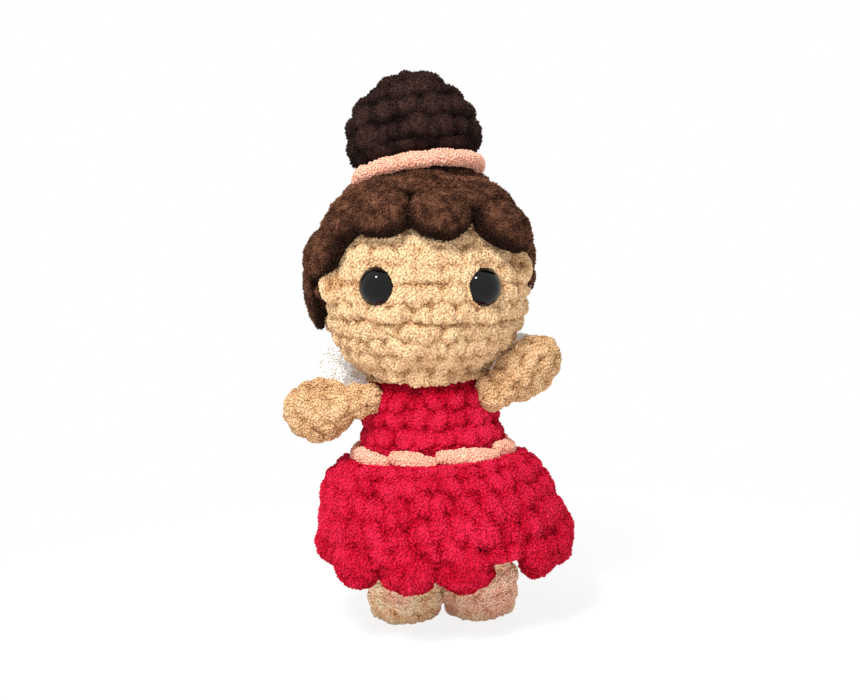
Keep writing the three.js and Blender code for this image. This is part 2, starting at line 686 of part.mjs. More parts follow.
const groundBelow = new THREE.BoxGeometry(4 * FOOT_LENGTH, 4 * FOOT_LENGTH, FOOT_LENGTH);
groundBelow.translate(0, 0, -HIP_HEIGHT - FOOT_LENGTH / 2);

// The top of the leg is open towards the body.
function legShell() {
  const mouth = bar(LEG_TOP_RADIUS - LIMB_FABRIC - 1, 0, 2 * LEG_TOP_RADIUS, 12);
  return legForm(0, 18, 12)
    .subtract(legForm(LIMB_FABRIC, 10, 6))
    .subtract(mouth)
    .subtract(solidOf(groundBelow));
}

function legStuffing() {
  return legForm(LIMB_FABRIC + CLEARANCE, 10, 6);
}

// WING, in the frame of its root: the root's roll along Z, the petals outwards along +X.

function petal({ length, width, raise }) {
  const widest = length * 0.66;
  const rim = WING_THICKNESS / 2;
  const half = (x) => {
    const outer = ellipse(x, widest, length - widest, width / 2);
    const stem = mix(rim, width / 2, smooth(x, 0, widest));
    const across = x < widest ? stem : outer;
    return [across, min(rim, across)];
  };
  const flat = lobe(0, length, half, 12, 10);
  return placed(flat, new THREE.Matrix4().makeRotationY(-radians(raise)));
}

function wing(side) {
  const rim = WING_THICKNESS / 2;
  const root = bar(rim, -WING_ROOT_LENGTH / 2, WING_ROOT_LENGTH / 2, 14);
  const joined = root.add(petal(UPPER_PETAL)).add(petal(LOWER_PETAL));
  return side > 0 ? joined : placed(joined, new THREE.Matrix4().makeRotationZ(PI));
}

function wingFrame(side) {
  const rim = WING_THICKNESS / 2;
  const lean = radians(WING_LEAN);
  const heel = WING_ROOT_HEIGHT - (WING_ROOT_LENGTH / 2) * cos(lean) + rim * sin(lean);
  const bodyBack = sqrt(bodyRadius(heel) ** 2 - (WING_ROOT_SPACING / 2) ** 2);
  const behind = bodyBack + CLEARANCE + (WING_ROOT_LENGTH / 2) * sin(lean) + rim * cos(lean);
  const frame = new THREE.Matrix4().makeRotationX(-lean);
  return frame.setPosition((side * WING_ROOT_SPACING) / 2, behind, WING_ROOT_HEIGHT);
}

// ASSEMBLY

function groupAt(frame, name) {
  const group = new THREE.Group();
  group.name = name;
  group.applyMatrix4(frame);
  return group;
}

const head = groupAt(headFrame, "head");
head.add(meshOf("head_shell", headShell(), SKIN_YARN));
head.add(meshOf("head_stuffing", headStuffing(), STUFFING));
head.add(meshOf("hair_cap", hairCap(), HAIR_YARN));
for (const [word, side] of [["right", -1], ["left", 1]]) {
  const frame = eyeFrame(side);
  head.add(meshOf(`${word}_eye`, placed(eyeSolid(0), frame), EYE_PLASTIC));
  head.add(meshOf(`${word}_eye_washer`, placed(washerSolid(), frame), WASHER_PLASTIC));
  head.add(meshOf(`${word}_ear`, ear(side), SKIN_YARN));
}

const bun = groupAt(bunFrame, "bun");
bun.add(meshOf("bun_shell", bunShell(), BUN_YARN));
bun.add(meshOf("bun_stuffing", bunStuffing(), STUFFING));
bun.add(meshOf("hair_band", hairBand(), PINK_YARN));
head.add(bun);

const body = new THREE.Group();
body.add(meshOf("body_shell", bodyShell(), DRESS_YARN));
body.add(meshOf("body_stuffing", bodyStuffing(), STUFFING));
body.add(meshOf("neck_seam", neckSeam(), DRESS_YARN));
body.add(meshOf("sash", sash(), PINK_YARN));
body.add(meshOf("skirt", skirt(), DRESS_YARN));

const doll = new THREE.Group();
doll.add(body, head);
for (const [word, side, frame] of [["right", -1, rightShoulder], ["left", 1, leftShoulder]]) {
  const arm = groupAt(frame, `${word}_arm_frame`);
  arm.add(meshOf(`${word}_arm`, armShell(), SKIN_YARN));
  arm.add(meshOf(`${word}_arm_stuffing`, armCore(CLEARANCE), STUFFING));
  const leg = groupAt(hipFrame(side), `${word}_leg_frame`);
  leg.add(meshOf(`${word}_leg`, legShell(), SKIN_YARN));
  leg.add(meshOf(`${word}_leg_stuffing`, legStuffing(), STUFFING));
  const wingRoot = groupAt(wingFrame(side), `${word}_wing_frame`);
  wingRoot.add(meshOf(`${word}_wing`, wing(side), WING_YARN));
  doll.add(arm, leg, wingRoot);
}

// The origin goes under the middle of the whole doll.
const extent = new THREE.Box3().setFromObject(doll, true);
const middle = extent.getCenter(new THREE.Vector3());
doll.position.set(-middle.x, -middle.y, -extent.min.z);

const part = new THREE.Group();
part.add(doll);

export default part;
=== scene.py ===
# %% [markdown]
# # A crocheted fairy doll in chenille yarn
#
# The doll is worked in thick chenille: every stitch is a soft lump, every row a groove, and the whole
# surface is a short dense pile. Each piece is made in two layers. The first is a closed skin, worked out
# as one numpy grid, with its stitches raised from it. The second is the pile: thousands of small closed
# tufts that stand on that skin. Lengths are in millimetres until a mesh is made, and left and right are
# the doll's own.

import math
from collections import namedtuple
from functools import reduce

import bpy
import numpy as np
from mathutils import Matrix, Vector


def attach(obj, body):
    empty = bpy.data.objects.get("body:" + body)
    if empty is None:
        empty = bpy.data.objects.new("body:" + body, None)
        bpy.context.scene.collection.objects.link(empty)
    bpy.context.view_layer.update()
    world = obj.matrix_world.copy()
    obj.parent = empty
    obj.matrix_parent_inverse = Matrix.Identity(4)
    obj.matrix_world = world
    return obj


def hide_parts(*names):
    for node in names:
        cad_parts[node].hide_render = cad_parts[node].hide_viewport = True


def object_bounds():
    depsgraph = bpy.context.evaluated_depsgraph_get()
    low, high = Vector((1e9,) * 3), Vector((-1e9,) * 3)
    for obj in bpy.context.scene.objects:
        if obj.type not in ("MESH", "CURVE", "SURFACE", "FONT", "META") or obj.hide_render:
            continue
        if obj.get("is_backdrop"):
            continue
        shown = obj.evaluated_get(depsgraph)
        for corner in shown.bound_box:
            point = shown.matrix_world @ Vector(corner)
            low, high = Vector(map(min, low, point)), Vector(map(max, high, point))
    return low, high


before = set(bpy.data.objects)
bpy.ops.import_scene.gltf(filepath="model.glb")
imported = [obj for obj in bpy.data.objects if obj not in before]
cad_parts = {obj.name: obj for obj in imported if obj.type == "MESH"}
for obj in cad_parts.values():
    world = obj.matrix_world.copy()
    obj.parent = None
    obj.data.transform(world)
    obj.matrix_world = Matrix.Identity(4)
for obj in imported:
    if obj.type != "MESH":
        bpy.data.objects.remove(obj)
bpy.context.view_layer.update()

# %% [markdown]
# ## Sizes shared with the solids
#
# Each piece goes where its solid is, so the same sizes and turns are written here as in the solids' own
# source.

# %% Sizes
MM = 0.001
FULL_TURN = 2 * np.pi
STITCH_WIDTH = 8.0
FABRIC = 5.5
LIMB_FABRIC = 4.2
SHIFT = np.array([1.149, -0.847, 0.0])  # from the doll's axis to the frame's origin

HEAD_RADIUS = 38.5
HEAD_HEIGHT = 122.4
NECK_HOLE_RADIUS = 13.0
HAIR_RADIUS = 43.3
HAIR_CENTRE = np.array([0, 1.5, 3.6])  # in the head's frame
WAIST_HEIGHT = 61.6
HIP_HEIGHT = 38.0


def turned(axis, degrees):
    """The rotation matrix about one axis, from the cosine and sine of the angle."""
    c, s = math.cos(math.radians(degrees)), math.sin(math.radians(degrees))
    rows = {
        "x": ((1, 0, 0), (0, c, -s), (0, s, c)),
        "y": ((c, 0, s), (0, 1, 0), (-s, 0, c)),
        "z": ((c, -s, 0), (s, c, 0), (0, 0, 1)),
    }
    return np.array(rows[axis], float)


UPRIGHT = np.eye(3)
HEAD_AXES = turned("z", 4) @ turned("y", 3.3) @ turned("x", 5)
HEAD_CENTRE = SHIFT + (0, 0, HEAD_HEIGHT)
BUN_AXES = HEAD_AXES @ turned("x", -12) @ turned("y", -7.5)
BUN_CENTRE = HEAD_CENTRE + HEAD_AXES @ np.array([-2.6, 1.5, 42.2])


def set_at(points, axes, centre):
    """Points of a piece's own frame in the doll's frame: turned by its axes, then moved to its centre."""
    return points @ axes.T + centre


print("head centre", HEAD_CENTRE.round(1), "bun centre", BUN_CENTRE.round(1))

# %% [markdown]
# ## Chance without a generator
#
# A stitch's size and lean differ a little from its neighbour's. A hash of the stitch's row and column
# gives the same number each time, wherever it is asked for, so that a lump looks the same from all the
# grid points around it.

# %% Chance and noise


def chance(a, b=0, c=0, seed=0):
    """A number from 0 to 1 for each set of whole numbers: the fraction of a large multiple of a sine."""
    return np.mod(np.sin(a * 127.1 + b * 311.7 + c * 74.7 + seed * 19.19 + 0.5) * 43758.5453, 1.0)


def wander(points, size, seed):
    """Smooth noise from -1 to 1: chance at the corners of cubes of that size, blended with smoothstep
    weights."""
    place = points / size
    cell = np.floor(place)
    part = place - cell
    part = part * part * (3 - 2 * part)
    total = 0.0
    for corner in np.ndindex(2, 2, 2):
        weight = np.prod(np.where(corner, part, 1 - part), axis=-1)
        total = total + weight * chance(*np.moveaxis(cell + corner, -1, 0), seed=seed)
    return 2 * total - 1


def lumps(points, size, seed):
    """Round lumps from 0 to 1: one minus the squared distance to the nearest of the random centres, one
    centre in each cube of that size."""
    place = points / size
    cell = np.floor(place)
    nearest = np.full(place.shape[:-1], 9.0)
    for step in np.ndindex(3, 3, 3):
        corner = cell + step - 1
        key = np.moveaxis(corner, -1, 0)
        centre = corner + np.stack([chance(*key, seed=seed + k) for k in range(3)], axis=-1)
        nearest = np.minimum(nearest, ((place - centre) ** 2).sum(-1))
    return 1 - np.minimum(nearest, 1)


def smoothly(x, low, high):
    """0 below low, 1 above high, and 3t^2 - 2t^3 between them."""
    t = np.clip((x - low) / (high - low), 0, 1)
    return t * t * (3 - 2 * t)


def mix(a, b, share):
    """From a to b by a share from 0 to 1."""
    return a + (b - a) * share


def bell(x, width):
    """1 where x is 0, falling smoothly to both sides: e to the minus square of x in widths."""
    return np.exp(-((x / width) ** 2))


def angles(count, start=0.0):
    """A full turn in equal steps, in radians, from a start given in turns."""
    return (np.arange(count) / count + start) * FULL_TURN


# %% [markdown]
# ## Stitches
#
# Seen from outside, a single crochet is a V of two slanted lumps, and the rounds stack half a stitch out
# of line. The relief of a surface is the highest of the lumps around each point, which leaves a sharp
# groove between them.

# %% The relief of the stitches
GROOVE = 1.4
ASIDE, ASTRAY = 0.14, 0.22  # how far chance moves a lump, in stitch widths and in row heights
LEAST_LUMP, MORE_LUMP = 0.72, 0.4  # a lump's least size, and how much chance adds to it


def stitches(turn, row, counts, seed, wide=0.39, tall=0.66, lean=0.28, split=0.24):
    """The relief from 0 in a groove to 1 on a lump. turn is from 0 to 1 round the piece, row counts
    rounds, and counts has each round's stitches. Each stitch has two lumps, split stitch widths from its
    middle. A lump is the top of an ellipsoid, the root of one minus its squared distance in stitch widths
    and row heights, slanted by lean. The power GROOVE rounds the grooves' floor and steepens their
    sides."""
    best = np.zeros(np.broadcast(turn, row).shape)
    for row_step in (-1, 0, 1):
        here = np.floor(row) + row_step
        count = counts[np.clip(here, 0, len(counts) - 1).astype(int)]
        phase = turn * count + chance(here, seed=seed)
        for column_step in (-1, 0, 1):
            column = np.floor(phase) + column_step
            key = np.mod(column, count)
            for side in (-1, 1):
                shift = ASIDE * (chance(here, key, side, seed + 1) - 0.5)
                rise = ASTRAY * (chance(here, key, side, seed + 2) - 0.5)
                across = phase - (column + 0.5 + split * side + shift)
                along = row - (here + 0.5 + rise)
                slant = across - side * lean * along
                size = LEAST_LUMP + MORE_LUMP * chance(here, key, side, seed + 3)
                away = (slant / (wide * size)) ** 2 + (along / (tall * size)) ** 2
                best = np.maximum(best, size * np.sqrt(np.maximum(0, 1 - away)))
    return np.clip(best, 0, 1) ** GROOVE


def rounds(radii, width=STITCH_WIDTH):
    """How many stitches of that width fit round each radius, at least five."""
    return np.maximum(5, np.round(FULL_TURN * np.asarray(radii, float) / width))


def ball_rounds(radius, round_angle, width=STITCH_WIDTH):
    """How many stitches a ball has in each of its rounds, from the crown down: the radius there is the
    ball's times the sine of the angle down. 17 rounds are more than a head has."""
    return rounds(radius * np.sin(np.radians((np.arange(17) + 0.5) * round_angle)), width)


# %% [markdown]
# ## From a grid to a mesh
#
# A grid has rows from one end of a piece to the other and columns round it. The columns close up on
# themselves. The first and last rows either shrink to a pole or, on a ring such as the skirt, meet each
# other.

# %% Grids and meshes


def outward(grid, ring):
    """Each grid point's outward direction: the cross product of the steps along the row and along the
    column, the sign chosen so that the whole shape's volume is positive."""
    along = np.roll(grid, -1, 1) - np.roll(grid, 1, 1)
    down = np.roll(grid, -1, 0) - np.roll(grid, 1, 0) if ring else np.gradient(grid, axis=0)
    normal = np.cross(down, along)
    size = np.linalg.norm(normal, axis=-1, keepdims=True)
    volume = (normal * (grid - grid.mean((0, 1)))).sum()
    return np.sign(volume) * normal / np.maximum(size, 1e-9)


def raised(grid, height, ring=False):
    """A grid moved outwards by a height at each of its points."""
    return grid + outward(grid, ring) * height[..., None]


class Net:
    """A closed skin: its corners in mm, its four-sided and three-sided faces, one number for each corner,
    its shade, a painted shade from 0 in a groove to 1 on a lump, and each face's corners on a flat map
    from 0 to 1."""

    def __init__(self, corners, quads, triangles, shade, quad_map, triangle_map):
        self.corners, self.shade = corners, shade
        self.quads, self.triangles = quads, triangles
        self.quad_map, self.triangle_map = quad_map, triangle_map
        if self.volume() < 0:
            self.quads, self.triangles = quads[:, ::-1].copy(), triangles[:, ::-1].copy()
            self.quad_map, self.triangle_map = quad_map[:, ::-1].copy(), triangle_map[:, ::-1].copy()

    def volume(self):
        """A sixth of the sum of the box products of each triangle's corners."""
        fans = np.vstack([self.quads[:, [0, 1, 2]], self.quads[:, [0, 2, 3]], self.triangles])
        a, b, c = (self.corners[fans[:, k]] for k in range(3))
        return float(np.einsum("ij,ij->", a, np.cross(b, c))) / 6

    def faces(self):
        """How many triangles it has."""
        return 2 * len(self.quads) + len(self.triangles)

    def __add__(self, other):
        """Both skins in one. They share the flat map's height by their numbers of faces."""
        start = len(self.corners)
        share = self.faces() / (self.faces() + other.faces())
        low, high = np.array([1, share]), np.array([1, 1 - share])
        return Net(
            np.vstack([self.corners, other.corners]),
            np.vstack([self.quads, other.quads + start]),
            np.vstack([self.triangles, other.triangles + start]),
            np.concatenate([self.shade, other.shade]),
            np.vstack([self.quad_map * low, other.quad_map * high + (0, share)]),
            np.vstack([self.triangle_map * low, other.triangle_map * high + (0, share)]),
        )


def together(nets):
    """Several skins in one."""
    return reduce(Net.__add__, nets)


def map_of(rows, row_faces, columns):
    """Where four-sided faces lie on the flat map: columns across it, rows up it."""
    column = np.arange(columns) / columns
    row = row_faces / rows
    left, right, low, high = column, column + 1 / columns, row, row + 1 / rows
    u = np.stack([left, left, right, right], -1)[None].repeat(len(row_faces), 0)
    v = np.stack([low, high, high, low], -1)[:, None].repeat(columns, 1)
    return np.stack([u, v], -1).reshape(-1, 4, 2)


def net_of(grid, shade, ring=False):
    """A grid of rows, columns and places as a Net. Without ring, the first and last rows become one
    corner each."""
    rows, columns = grid.shape[:2]
    shade = np.broadcast_to(shade, (rows, columns))
    beside = np.roll(np.arange(columns), -1)
    if ring:
        at = np.arange(rows * columns).reshape(rows, columns)
        below = np.roll(at, -1, 0)
        quads = np.stack([at, below, below[:, beside], at[:, beside]], -1).reshape(-1, 4)
        none = np.zeros((0, 3), int)
        flat = map_of(rows, np.arange(rows), columns)
        return Net(grid.reshape(-1, 3), quads, none, shade.ravel(), flat, np.zeros((0, 3, 2)))
    at = 1 + np.arange((rows - 2) * columns).reshape(rows - 2, columns)
    quads = np.stack([at[:-1], at[1:], at[1:, beside], at[:-1, beside]], -1).reshape(-1, 4)
    last = 1 + at.size
    first_fan = np.stack([np.zeros(columns, int), at[0], at[0, beside]], -1)
    last_fan = np.stack([np.full(columns, last), at[-1, beside], at[-1]], -1)
    ends = map_of(rows - 1, np.array([0, rows - 2]), columns).reshape(2, columns, 4, 2)
    fans = np.vstack([ends[0][:, [0, 1, 2]], ends[1][:, [1, 3, 0]]])
    flat = map_of(rows - 1, np.arange(1, rows - 2), columns)
    corners = np.vstack([grid[0].mean(0), grid[1:-1].reshape(-1, 3), grid[-1].mean(0)])
    shades = np.concatenate([[shade[0].mean()], shade[1:-1].ravel(), [shade[-1].mean()]])
    return Net(corners, quads, np.vstack([first_fan, last_fan]), shades, flat, fans)


def mesh_of(name, net):
    """A Blender mesh of a Net, in metres, with its shade as an attribute and its flat map."""
    mesh = bpy.data.meshes.new(name)
    mesh.vertices.add(len(net.corners))
    mesh.vertices.foreach_set("co", (net.corners * MM).astype(np.float32).ravel())
    loops = np.concatenate([net.triangles.ravel(), net.quads.ravel()])
    mesh.loops.add(len(loops))
    mesh.loops.foreach_set("vertex_index", loops.astype(np.int32))
    three, four = len(net.triangles), len(net.quads)
    starts = np.concatenate([3 * np.arange(three), 3 * three + 4 * np.arange(four)])
    mesh.polygons.add(len(starts))
    mesh.polygons.foreach_set("loop_start", starts.astype(np.int32))
    mesh.polygons.foreach_set("use_smooth", np.ones(len(starts), bool))
    mesh.attributes.new("shade", "FLOAT", "POINT").data.foreach_set("value", net.shade.astype(np.float32))
    flat = np.concatenate([net.triangle_map.reshape(-1, 2), net.quad_map.reshape(-1, 2)])
    mesh.uv_layers.new(name="OFBake").data.foreach_set("uv", flat.astype(np.float32).ravel())
    mesh.update(calc_edges=True)
    return mesh


made_faces = []


def piece(name, net, material, body, slot, replaces=(), fill=None):
    """A finished piece: its mesh with its material, riding on a body. slot, the slot that it takes its
    finish from, is not used. fill, which says that it is stuffed and how firmly, is not used."""
    thing = bpy.data.objects.new(name, mesh_of(name, net))
    bpy.context.scene.collection.objects.link(thing)
    thing.data.materials.append(material)
    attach(thing, body)
    if replaces:
        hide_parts(*replaces)
    made_faces.append(net.faces())
    print(f"{name}: {made_faces[-1]} triangles")


# %% [markdown]
# ## Pile
#
# Chenille yarn is a core with thousands of cut fibres twisted into it. At this distance they read as
# tufts about a millimetre across. Each tuft here is a closed bulb of eight faces: a root below the skin,
# four corners round its middle and a tip that leans its own way. They are spread by area, one for each
# equal share of the skin.

# %% Tufts
BULB_FACES = np.array([
    [0, 2, 1], [0, 3, 2], [0, 4, 3], [0, 1, 4], [5, 1, 2], [5, 2, 3], [5, 3, 4], [5, 4, 1],
])
# What a tuft adds to its shade at its root, its four middle corners and its tip: painted shade at the root
# and painted light at the tip.
BULB_PAINTED_SHADING = np.array([-0.06, 0.14, 0.14, 0.14, 0.14, 0.3])
BULB_SIDES = np.array([0.5, 0.1, 0.9, 0.1, 0.9, 0.5])
LENGTHS, WIDTHS = (0.65, 1.35), (0.7, 1.3)  # the least and the most, as shares of a pile's own
FLECKS, CLOUDS = 0.07, 0.1  # how far the tone differs between two tufts, and over some millimetres
Pile = namedtuple("Pile", "each_mm2 length width lean")


def tufts(net, pile, seed, where):
    """Bulbs that stand on a Net, each_mm2 of them on a square millimetre. where(places) is the share of
    them that grows at a place. A tip lies length along the skin's outward direction, and up to lean times
    that to one side."""
    random = np.random.default_rng(seed)
    a, b, c, d = (net.corners[net.quads[:, k]] for k in range(4))
    cross = np.cross(c - a, d - b)
    area = np.linalg.norm(cross, axis=1) / 2
    if where is not None:
        area = area * where((a + b + c + d) / 4)
    reached = np.cumsum(area)
    count = int(reached[-1] * pile.each_mm2)
    face = np.searchsorted(reached, (np.arange(count) + random.random(count)) / count * reached[-1])
    face = np.minimum(face, len(area) - 1)
    u, v = random.random((2, count, 1))
    foot = (1 - u) * (1 - v) * a[face] + u * (1 - v) * b[face] + u * v * c[face] + (1 - u) * v * d[face]
    out = cross[face] / np.maximum(np.linalg.norm(cross[face], axis=1, keepdims=True), 1e-9)
    side = np.cross(out, random.normal(size=(count, 3)))
    side /= np.linalg.norm(side, axis=1, keepdims=True)
    other = np.cross(out, side)
    tall = pile.length * random.uniform(*LENGTHS, (count, 1))
    broad = pile.width / 2 * random.uniform(*WIDTHS, (count, 1))
    drift = pile.lean * random.random((count, 1)) * tall
    middle = foot + 0.4 * tall * out + 0.3 * drift * side
    ring = [middle + broad * side, middle + broad * other, middle - broad * side, middle - broad * other]
    corners = np.stack([foot - 0.5 * tall * out, *ring, foot + tall * out + drift * side], axis=1)
    faces = (6 * np.arange(count)[:, None, None] + BULB_FACES).reshape(-1, 3)
    # A tuft takes 0.72 of the skin's painted shade where it stands, is painted darker at its root and
    # paler at its tip, as shade and light, and has its own random tone.
    base = net.shade[net.quads[face, 0]][:, None]
    tone = random.normal(0, FLECKS, (count, 1)) + CLOUDS * wander(foot, 6, seed)[:, None]
    shade = np.clip(0.72 * base + BULB_PAINTED_SHADING + tone, 0.002, 0.998)
    flat = np.stack([shade, np.broadcast_to(BULB_SIDES, shade.shape)], -1)
    flat = flat[:, BULB_FACES].reshape(-1, 3, 2)
    no_quads, no_map = np.zeros((0, 4), int), np.zeros((0, 4, 2))
    return Net(corners.reshape(-1, 3), no_quads, faces, shade.ravel(), no_map, flat)


# %% [markdown]
# ## Yarn, fibre and plastic
#
# A colour is written as it looks on a screen and turned into light for Blender. A yarn's colour runs from
# deep to pale with its shade: the grooves and the roots of the pile are painted darker, as shade, and the
# tips of the pile paler, as light. A little sheen gives the pale rim that chenille has at a low angle.
# Each
# yarn has two materials: the skin's also has noise and bump, and the pile's follows its tufts' shade
# alone.

# %% Materials


def light_of(colour):
    """A colour of three numbers from 0 to 255, from the screen's scale to light: ((c + 0.055) / 1.055) **
    2.4."""
    c = np.array(colour, float) / 255
    return (*np.where(c <= 0.04045, c / 12.92, ((c + 0.055) / 1.055) ** 2.4), 1.0)


def set_values(node, values):
    """A node with the values of its sockets set, each by name or number."""
    for socket, value in values.items():
        node.inputs[socket].default_value = value
    return node


def calculation(nodes, operation, values):
    """A node that does one step of arithmetic, with some of its numbers set."""
    node = nodes.new("ShaderNodeMath")
    node.operation = operation
    return set_values(node, values)


def new_material(name, roughness, specular):
    """A material, its nodes, its links and its Principled shader with plain values set."""
    material = bpy.data.materials.new(name)
    material.use_nodes = True
    nodes, links = material.node_tree.nodes, material.node_tree.links
    values = {"Roughness": roughness, "Specular IOR Level": specular}
    return material, nodes, links, set_values(nodes["Principled BSDF"], values)


def noise(nodes, links, size_mm):
    """A noise texture in the piece's own coordinates, its grain that size."""
    place = nodes.new("ShaderNodeTexCoord")
    texture = set_values(nodes.new("ShaderNodeTexNoise"), {"Scale": 1000 / size_mm, "Detail": 2.0})
    links.new(place.outputs["Object"], texture.inputs["Vector"])
    return texture


def bumped(nodes, links, shader, size_mm, height_mm):
    """Bump from noise of that grain and height."""
    texture = noise(nodes, links, size_mm)
    bump = set_values(nodes.new("ShaderNodeBump"), {"Distance": height_mm * MM, "Strength": 1.0})
    links.new(texture.outputs["Fac"], bump.inputs["Height"])
    links.new(bump.outputs["Normal"], shader.inputs["Normal"])


def colours_along(nodes, links, shader, source, colours):
    """A colour ramp from the first colour near 0 to the last near 1, read at the source's value."""
    ramp = nodes.new("ShaderNodeValToRGB")
    stops = ramp.color_ramp.elements
    stops[0].position, stops[0].color = 0.05, light_of(colours[0])
    stops[1].position, stops[1].color = 0.95, light_of(colours[-1])
    for k, colour in enumerate(colours[1:-1], 1):
        stops.new(0.05 + 0.9 * k / (len(colours) - 1)).color = light_of(colour)
    links.new(source, ramp.inputs["Fac"])
    links.new(ramp.outputs["Color"], shader.inputs["Base Color"])


def patches(nodes, links, shader, tint):
    """The tint, painted light, laid over the base colour wherever broad noise is near or above its middle,
    up to six tenths."""
    limits = {"From Min": 0.46, "From Max": 0.62, "To Max": 0.6}
    share = set_values(nodes.new("ShaderNodeMapRange"), limits)
    links.new(noise(nodes, links, 16.0).outputs["Fac"], share.inputs["Value"])
    both = set_values(nodes.new("ShaderNodeMixRGB"), {"Color2": light_of(tint)})
    links.new(share.outputs["Result"], both.inputs["Fac"])
    links.new(shader.inputs["Base Color"].links[0].from_socket, both.inputs["Color1"])
    links.new(both.outputs["Color"], shader.inputs["Base Color"])


Yarn = namedtuple("Yarn", "skin pile slot")
MOTTLE = 0.25  # how far noise moves the shade on a skin


def yarn(name, *colours, sheen=0.1, tint=None, slot=None):
    """Chenille as two materials, the skin's and the pile's. The attribute shade, which holds the painted
    shade of grooves and roots and the painted light of tips, picks a colour from deep to tip, and on the
    skin noise moves it a little. A painted light tint lies over it in soft patches."""
    pair = []
    for layer in ("skin", "pile"):
        material, nodes, links, shader = new_material(f"{name}_{layer}", 0.92, 0.12)
        shade = nodes.new("ShaderNodeAttribute")
        shade.attribute_name = "shade"
        source = shade.outputs["Fac"]
        if layer == "skin":
            moved = calculation(nodes, "MULTIPLY_ADD", {1: MOTTLE})
            links.new(noise(nodes, links, 5.0).outputs["Fac"], moved.inputs[0])
            lowered = calculation(nodes, "SUBTRACT", {1: MOTTLE / 2})
            links.new(source, lowered.inputs[0])
            links.new(lowered.outputs[0], moved.inputs[2])
            source = moved.outputs[0]
            bumped(nodes, links, shader, 0.9, 0.35)
        colours_along(nodes, links, shader, source, colours)
        if tint:
            patches(nodes, links, shader, tint)
        rim = light_of(colours[-1])
        set_values(shader, {"Sheen Weight": sheen, "Sheen Roughness": 0.5, "Sheen Tint": rim})
        pair.append(material)
    return Yarn(*pair, slot or name)


# A yarn's colours run deep, middle and tip: the deep one is the painted shade of grooves and roots, the
# tip one the painted light on the tips of the pile.
SKIN = yarn("skin_yarn", (134, 83, 46), (203, 161, 116), (234, 199, 156))
# The feet's colours are the skin's yarn painted paler, as light that lifts the skirt's shadow on the feet,
# and its pink patches are painted red light cast up from the skirt.
PAINTED_LIGHT_FOOT = yarn("foot_painted_light", (162, 100, 64), (252, 206, 158), (255, 236, 200), tint=(252, 190, 172),
            slot="skin_yarn")
HAIR = yarn("hair_yarn", (12, 5, 3), (62, 37, 26), (124, 82, 61), sheen=0.08)
BUN = yarn("bun_yarn", (7, 4, 4), (28, 17, 15), (58, 38, 33), sheen=0.06)
DRESS = yarn("dress_yarn", (100, 0, 11), (181, 6, 38), (215, 35, 71))
PINK = yarn("pink_yarn", (196, 108, 86), (234, 162, 136), (252, 196, 170))
WHITE = yarn("wing_yarn", (226, 222, 212), (246, 244, 238), (255, 255, 253))


def fibre(name):
    """Polyester filling: white and matt, with a soft cloudy bump."""
    material, nodes, links, shader = new_material(name, 1.0, 0.05)
    cloud = noise(nodes, links, 6.0).outputs["Fac"]
    colours_along(nodes, links, shader, cloud, [(214, 212, 206), (252, 252, 248)])
    set_values(shader, {"Sheen Weight": 0.3})
    bumped(nodes, links, shader, 2.0, 0.8)
    return material


def plastic(name, dark, pale, roughness, specular, grain_mm, bump_mm=0.0):
    """Moulded plastic: two close colours from fine noise, and roughness that is the same all over."""
    material, nodes, links, shader = new_material(name, roughness, specular)
    colours_along(nodes, links, shader, noise(nodes, links, grain_mm).outputs["Fac"], [dark, pale])
    if bump_mm:
        bumped(nodes, links, shader, grain_mm, bump_mm)
    return material


FILLING = fibre("stuffing")
EYE = plastic("eye_plastic", (4, 4, 5), (9, 9, 10), 0.09, 0.26, 3.0)
WASHER = plastic("washer_plastic", (222, 222, 216), (238, 238, 234), 0.4, 0.5, 1.5, 0.02)
print("yarns:", [strand.skin.name for strand in (SKIN, PAINTED_LIGHT_FOOT, HAIR, BUN, DRESS, PINK, WHITE)])


def chenille(name, net, strand, pile, body, seed, where=None, **facts):
    """A skin and its pile, as two pieces on one body."""
    piece(name, net, strand.skin, body, strand.slot, **facts)
    piece(name + "_pile", tufts(net, pile, seed, where), strand.pile, body, strand.slot)


# %% [markdown]
# ## Head
#
# The head is a ball worked in rounds from the crown down. Its rounds are grooves of equal angle, and
# those below the eyes were pulled tighter than the rest, so that one reads as a mouth. The skin goes down
# outside to the neck and back up inside, so that it is a real layer of fabric round the filling. Each eye
# is pulled in, the fabric swells round its rim, and the last round before the neck hangs a little under
# the chin.

# %% The head's skin
ROUND_ANGLE = 10.27  # one round on the head, in degrees down from the crown
FIRST_ROUND = 1.4
HEAD_COLUMNS = 400
TIGHT = [(10, -4, 44, 1.5), (10, 0, 80, 0.5), (8, 2, 24, 1.0)]  # round, middle, half width, depth
HEAD_LIFT, HEAD_RISE, SMALL_RISE, BEAD_RISE = 0.9, 2.7, 1.2, 0.9  # of fabric, stitches, lumps, beads
CHIN_DOWN, CHIN_WIDE, CHIN_HANG = 141, 4.5, 2.1
CHEEK, CHEEK_WIDE, CHEEK_RISE = (53, 91), 6.5, 1.2  # its place round and down, and its size in mm
EYE_RIM_FROM, EYE_RIM_WIDE, EYE_RIM_RISE = 11, 2.5, 0.7  # mm from the eye's axis, and the swelling there
HAND_AROUND, HAND_DOWN, HAND_ROOM = 73, 134, 1.4  # the raised left hand's place, and a hollow for it
GROOVE_WIDE = 0.12  # half the width of a tight round's groove, in rounds
EYE_RADIUS = 7.0
EYE_SEAT = 36.9  # of the eye's flat back from the head's centre
EYE_AROUND, EYE_DOWN = 30.1, 84.94


def facing(around, down):
    """The direction at an angle round from the middle of the face and an angle down from the crown, in
    radians."""
    across = np.sin(down)
    return np.stack([across * np.sin(around), -across * np.cos(around), np.cos(down)], axis=-1)


